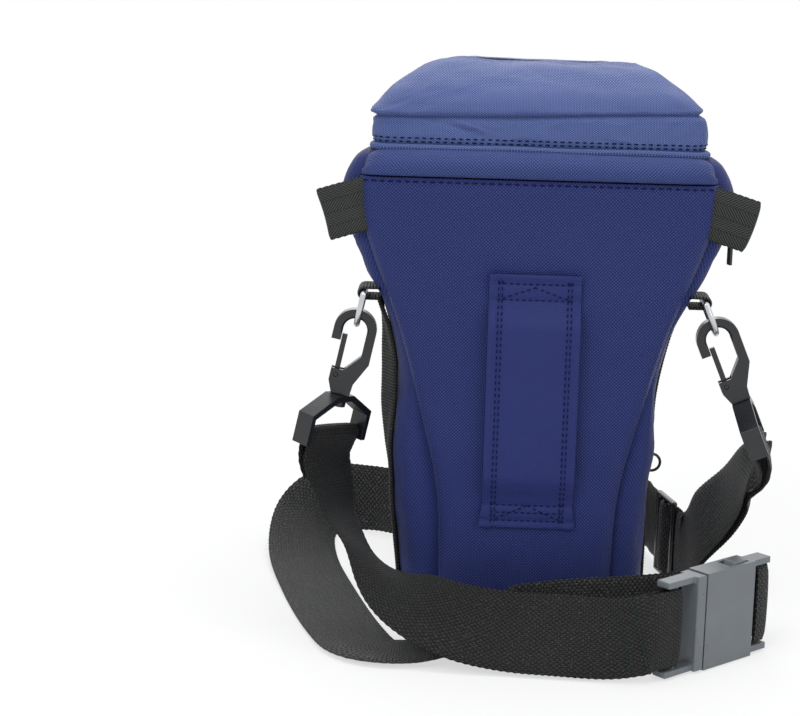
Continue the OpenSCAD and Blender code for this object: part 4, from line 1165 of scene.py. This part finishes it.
def make_lid_band():
    """The padded band above the zip, with a soft shoulder that turns in under the pocket."""
    columns, rows = 220, 36
    brow = LID_HIGH + 0.6 - LID_SHOULDER
    levels = []
    for t in (j / rows for j in range(rows + 1)):
        a = max(t - 0.6, 0) / 0.4 * math.pi * 0.52
        if t < 0.6:
            levels.append((blend(LID_LOW, brow, t / 0.6), 0))
        else:
            levels.append((brow + LID_SHOULDER * math.sin(a),
                           LID_SHOULDER * (1 - math.cos(a)) + max(0, t - 0.8) * 10))
    rings = [lid_ring(z, columns, drawn) for z, drawn in levels]

    def place(i, j):
        z, drawn = levels[j]
        p, run = rings[j][i]
        edge = min(run, rings[j][-1][1] - run) - PANEL_TOP_HALF + 6
        lift = 1.0 * math.sin(math.pi * j / rows) * ease(edge / 10)
        lift += (0.7 * ripple(p.x, p.y, z * 1.6, 30, 11) + 0.3 * ripple(p.x, p.y, z, 12, 2)) * ease(edge / 8)
        q = p + outward(rings[j], i) * lift
        return point(q.x, q.y, z + 0.4 * ripple(p.x, p.y, 0, 25, 4))

    bm = cloth_grid(columns, rows, place, lambda i, j: (rings[j][i][1] * mm, j / rows * 34 * mm))
    sew_shut(bm)
    piece = make_piece("padded_lid_band", bm, NYLON, "lid", ["lid_shell"], wall=3.6)


# Fold's profile from the panel's head up to the lid's top: (y, z)
FOLD_PROFILE = ((-50.0, 223.7), (-52.4, 223.8), (-53.7, 224.9), (-54.6, 227.0), (-54.8, 229.2),
                (-54.0, 231.6), (-52.3, 233.8), (-50.0, 235.2), (-47.5, 235.9), (-45.0, 236.1))


def make_lid_fold():
    """The lid's back, which carries on from the head of the back panel as a soft shoulder."""
    columns, rows = 100, 26
    profile = spread_evenly([Vector((y, z)) for y, z in FOLD_PROFILE], rows)

    def place(i, j):
        t = 2 * i / columns - 1
        y, z = profile[j][0]
        x = t * blend(PANEL_TOP_HALF - 0.5, LID_TOP_HALF + 0.5, ease((z - 224) / 14))
        if y < LID_FOLD_IN_Y:
            swell = 0.5 * ripple(x, 0, z * 2, 28, 7) + 0.25 * ripple(x, 0, z, 11, 3)
            y = blend(LID_FOLD_IN_Y, y - swell, math.sqrt(max(0, 1 - abs(t) ** 16)))
        corner = 5 * abs(t) ** 22 * ease((z - 225) / 8)
        return point(x, y, z - corner + 0.35 * ripple(x, 0, 0, 34, 8) * ease((z - 224) / 4))

    bm = cloth_grid(columns, rows, place,
                    lambda i, j: ((2 * i / columns - 1) * LID_TOP_HALF * mm, profile[j][1] * mm))
    for vert in new_corners(bmesh.ops.extrude_edge_only(bm, edges=open_edges(bm))):
        vert.co.y = max(vert.co.y, -47.3 * mm)
        vert.co.z = min(vert.co.z, 235.0 * mm)
    close_up(bm)
    piece = make_piece("padded_lid_fold", bm, SHOULDER_NYLON_PAINTED_LIGHT, "lid", ["lid_back_fold"])


def pocket_row(share):
    """Sides, back and front of the pocket at a share of its height."""
    return [through([(row[0], row[k]) for row in POCKET], share) for k in (1, 2, 3)]


def pocket_ring(share, count, drawn=0):
    sides, back_in, front_in = pocket_row(share)
    back, front = WRAP_BACK + 1 + back_in + drawn, POCKET_FRONT_Y - front_in - drawn
    return plan_ring(LID_TOP_HALF - sides - drawn, 58 - sides * 0.6 - drawn, back, front,
                     min(8, (front - back) * 0.3), min(16, (front - back) * 0.4), count)


def crease_at(p):
    """Height share of the seam round the pocket's top: on the back it is lower and climbs to the right."""
    back = ease((-5 - p.y) / 30)
    return blend(0.45, 0.37 + 0.1 * ease((p.x + 50) / 130), back)


def pocket_lift(p, share):
    """Swell of the stuffed pocket: a gusset roll, a drawn-in seam and a loose top hung over it.

    At the left the cloth hangs over the seam, with a slanting tuck below and a dent above.
    """
    crease = crease_at(p)
    below, above = min(share / crease, 1), min(max((share - crease) / (1 - crease), 0), 1)
    lift = 1.3 * math.sin(math.pi * below) ** 0.8 + 2.3 * math.sin(math.pi * above) ** 0.6
    lift -= 2.4 * max(0, 1 - abs(share - crease) / 0.055) ** 1.4                # the drawn-in seam
    loose = 0.45 + 0.9 * min(above * 4, 1)
    lift += loose * (1.2 * ripple(p.x, p.y, share * 50, 34, 13) + 0.6 * ripple(p.x, p.y, share * 60, 15, 6))
    left_back = ease((-40 - p.x) / 26) * ease((-12 - p.y) / 20)
    tuck = hump(p.x + 120 * (share - 0.3), -44, 9) * ease((-20 - p.y) / 12) * hump(share, 0.24, 0.16)
    dent = hump(p.x, -44, 24) * hump(share, 0.68, 0.14) * ease((20 - p.y) / 20)
    return lift + 2.6 * left_back * hump(share, 0.4, 0.14) - 2.2 * tuck - 2.0 * dent


def pocket_point(ring, i, share):
    """The pocket's face, swollen outwards on its steep sides and upwards near its top."""
    p = ring[i][0]
    lift = pocket_lift(p, share) * ease(share / 0.06)
    steep = ease((1 - share) / 0.25)
    q = p + outward(ring, i) * lift * steep
    return q.x, q.y, POCKET_Z + POCKET_H * share + lift * (1 - steep)


ZIP_TILT = math.atan2(POCKET_H * 0.14, 12)
ZIP_SLOPE = Matrix.Rotation(-ZIP_TILT, 3, "X")
ZIP_ACROSS, ZIP_UP = ZIP_SLOPE @ Vector((0, 1, 0)), ZIP_SLOPE @ Vector((0, 0, 1))
POCKET_ZIP = Vector((0, 56, POCKET_Z + POCKET_H * 0.77 - 1))
MOUTH_HALF, MOUTH_L = 4.4, 54


def cut_mouth(bm):
    """Opens the front slope where the pocket's zip lies."""
    def inside(face, room=0.0):
        off = face.calc_center_median() / mm - POCKET_ZIP
        return (abs(off.x) < MOUTH_L / 2 + room and abs(off.dot(ZIP_ACROSS)) < MOUTH_HALF + room
                and abs(off.dot(ZIP_UP)) < 12)

    for way, reach in ((ZIP_ACROSS, MOUTH_HALF), (Vector((1, 0, 0)), MOUTH_L / 2)):
        for side in (-1, 1):
            near = [f for f in bm.faces if inside(f, 4)]
            geom = list({e for f in near for e in f.edges} | {v for f in near for v in f.verts}) + near
            bmesh.ops.bisect_plane(bm, geom=geom, plane_co=(POCKET_ZIP + way * side * reach) * mm,
                                   plane_no=way, dist=0.00001)
    bmesh.ops.delete(bm, geom=[f for f in bm.faces if inside(f)], context="FACES")


def lay_pocket_cloth(bm, rows, crest):
    """Lays the cloth by its climb from the foot, held in the map until now, and by its way along."""
    layer = bm.loops.layers.uv[CLOTH_MAP]
    climb = {loop.vert: round(loop[layer].uv.y) for face in bm.faces for loop in face.loops}
    bm.normal_update()
    for face in bm.faces:
        sideways = abs(face.normal.x) > abs(face.normal.y)
        for loop in face.loops:
            spot, level = loop.vert.co, climb[loop.vert]
            height = min(level, rows) / rows * POCKET_CLIMB + max(level - rows, 0) / crest * POCKET_CREST
            loop[layer].uv = (spot.y if sideways else spot.x, height * mm)


def make_pocket():
    """The stuffed pocket: its walls in rows by height share, then a flat crest in rings drawn in."""
    columns, rows, crest = 240, 84, 10
    shares = [j / rows for j in range(rows + 1)]
    rings = [pocket_ring(share, columns) for share in shares]
    rings += [pocket_ring(1, columns, POCKET_CREST * k / crest) for k in range(1, crest + 1)]

    def place(i, j):
        if j <= rows:
            return point(*pocket_point(rings[j], i, shares[j]))
        p, crown = rings[j][i][0], (j - rows) / crest
        return point(p.x, p.y, POCKET_Z + POCKET_H + pocket_lift(p, 1) + 0.8 * crown * (2 - crown))

    bm = cloth_grid(columns, rows + crest, place, lambda i, j: (0, j))
    lay_pocket_cloth(bm, rows, crest)
    sew_shut(bm)
    bmesh.ops.holes_fill(bm, edges=open_edges(bm, lambda p: p.z > POCKET_Z + 5))
    cut_mouth(bm)
    bmesh.ops.recalc_face_normals(bm, faces=bm.faces)
    piece = make_piece("stuffed_pocket", bm, TOP_NYLON_PAINTED_LIGHT, "lid", ["lid_pocket"], wall=1.6)

    def sewn(x, y, z):
        share = (z - POCKET_Z) / POCKET_H
        off = Vector((x, y, z)) - POCKET_ZIP
        foot = share < 0.13
        seam = abs(share - crease_at(Vector((x, y)))) < 0.03 and z < POCKET_Z + 24
        mouth = abs(off.x) < MOUTH_L / 2 + 4 and abs(off.y) < 10 and abs(off.z) < 9
        return foot or seam or mouth

    settle(piece, sewn, cap=1.6, slack=0.015)


make_lid_band()
make_lid_fold()
make_pocket()


# ---- Lid trim: cord, stitches and the pocket's zip ----
def make_pocket_cord():
    """The piping round the pocket's foot."""
    ring = pocket_ring(0.02, 320, -1.6)[:-1]
    points = [point(p.x, p.y, POCKET_Z + 0.7 - 0.5 * ease((-20 - p.y) / 20)
                    + 0.4 * ripple(p.x, p.y, 0, 30, 5)) for p, run in ring]
    sweep_round("pocket_piping", points, 1.7, TOP_NYLON_PAINTED_LIGHT, "lid", ["pocket_cord"])


def pocket_row_of_stitches(share):
    """A row of stitches round the pocket at this share of its height, just off its face."""
    ring = pocket_ring(share, 240)
    row = []
    for i in range(len(ring)):
        side = outward(ring, i).to_3d()
        row.append((point(*(Vector(pocket_point(ring, i, share)) + side * 0.1)), side))
    return row


def make_pocket_zip():
    """Teeth on the plain tape, and a folded welt along each side of the opening."""
    moulded("pocket_zip_tape", "lid", TAPE, 0.3)
    count, half, welt_half = 70, 25.5, 31
    spots = []
    for k in range(count):
        spot = Vector((blend(-half, half, k / (count - 1)), 0, 0)) + ZIP_ACROSS * (0.35 if k % 2 else -0.35)
        spots.append(((POCKET_ZIP + spot + ZIP_UP * 0.4) * mm, Vector((1, 0, 0)), ZIP_ACROSS))
    make_teeth("pocket_zip_teeth", spots, "lid", 0.9, 0.5, 1.0)
    for name, side in (("upper", -1), ("lower", 1)):
        points = [(POCKET_ZIP + Vector((welt_half * t, 0, 0))
                   + ZIP_ACROSS * side * (4.6 + 0.3 * (1 - t * t)) + ZIP_UP * 1.4) * mm
                  for t in (2 * k / 40 - 1 for k in range(41))]
        sweep_round("pocket_zip_welt_" + name, points, 1.1, TOP_NYLON_PAINTED_LIGHT, "lid", closed=False)


make_pocket_cord()
stitch_rows("pocket_stitches", [pocket_row_of_stitches(share) for share in (0.075, 0.12)],
            "lid", stitch=2.2, gap=1.2)
make_pocket_zip()


# ---- Moulded and metal pieces: smooth, rounded copies of the plain solids ----
for node, body in (("hook_left", "hook_left"), ("hook_right", "hook_right"), ("gate_left", "gate_left"),
                   ("gate_right", "gate_right"), ("swivel_base_left", "bag"), ("swivel_base_right", "bag")):
    moulded(node, body)
for node, body in (("buckle_male", "bag"), ("buckle_female", "bag"), ("prong_upper", "prong_upper"),
                   ("prong_lower", "prong_lower")):
    moulded(node, body, BUCKLE_PAINTED_REFLECTION, 1.2)
moulded("strap_slider", "slider", rounding=1.2)
for node in ("zip_slider", "zip_pull", "pocket_zip_slider", "pocket_zip_pull"):
    moulded(node, node, rounding=0.25)
for node, body in (("d_ring_left", "ring_left"), ("d_ring_right", "ring_right")):
    moulded(node, body, STEEL, 0.1, crease=80)
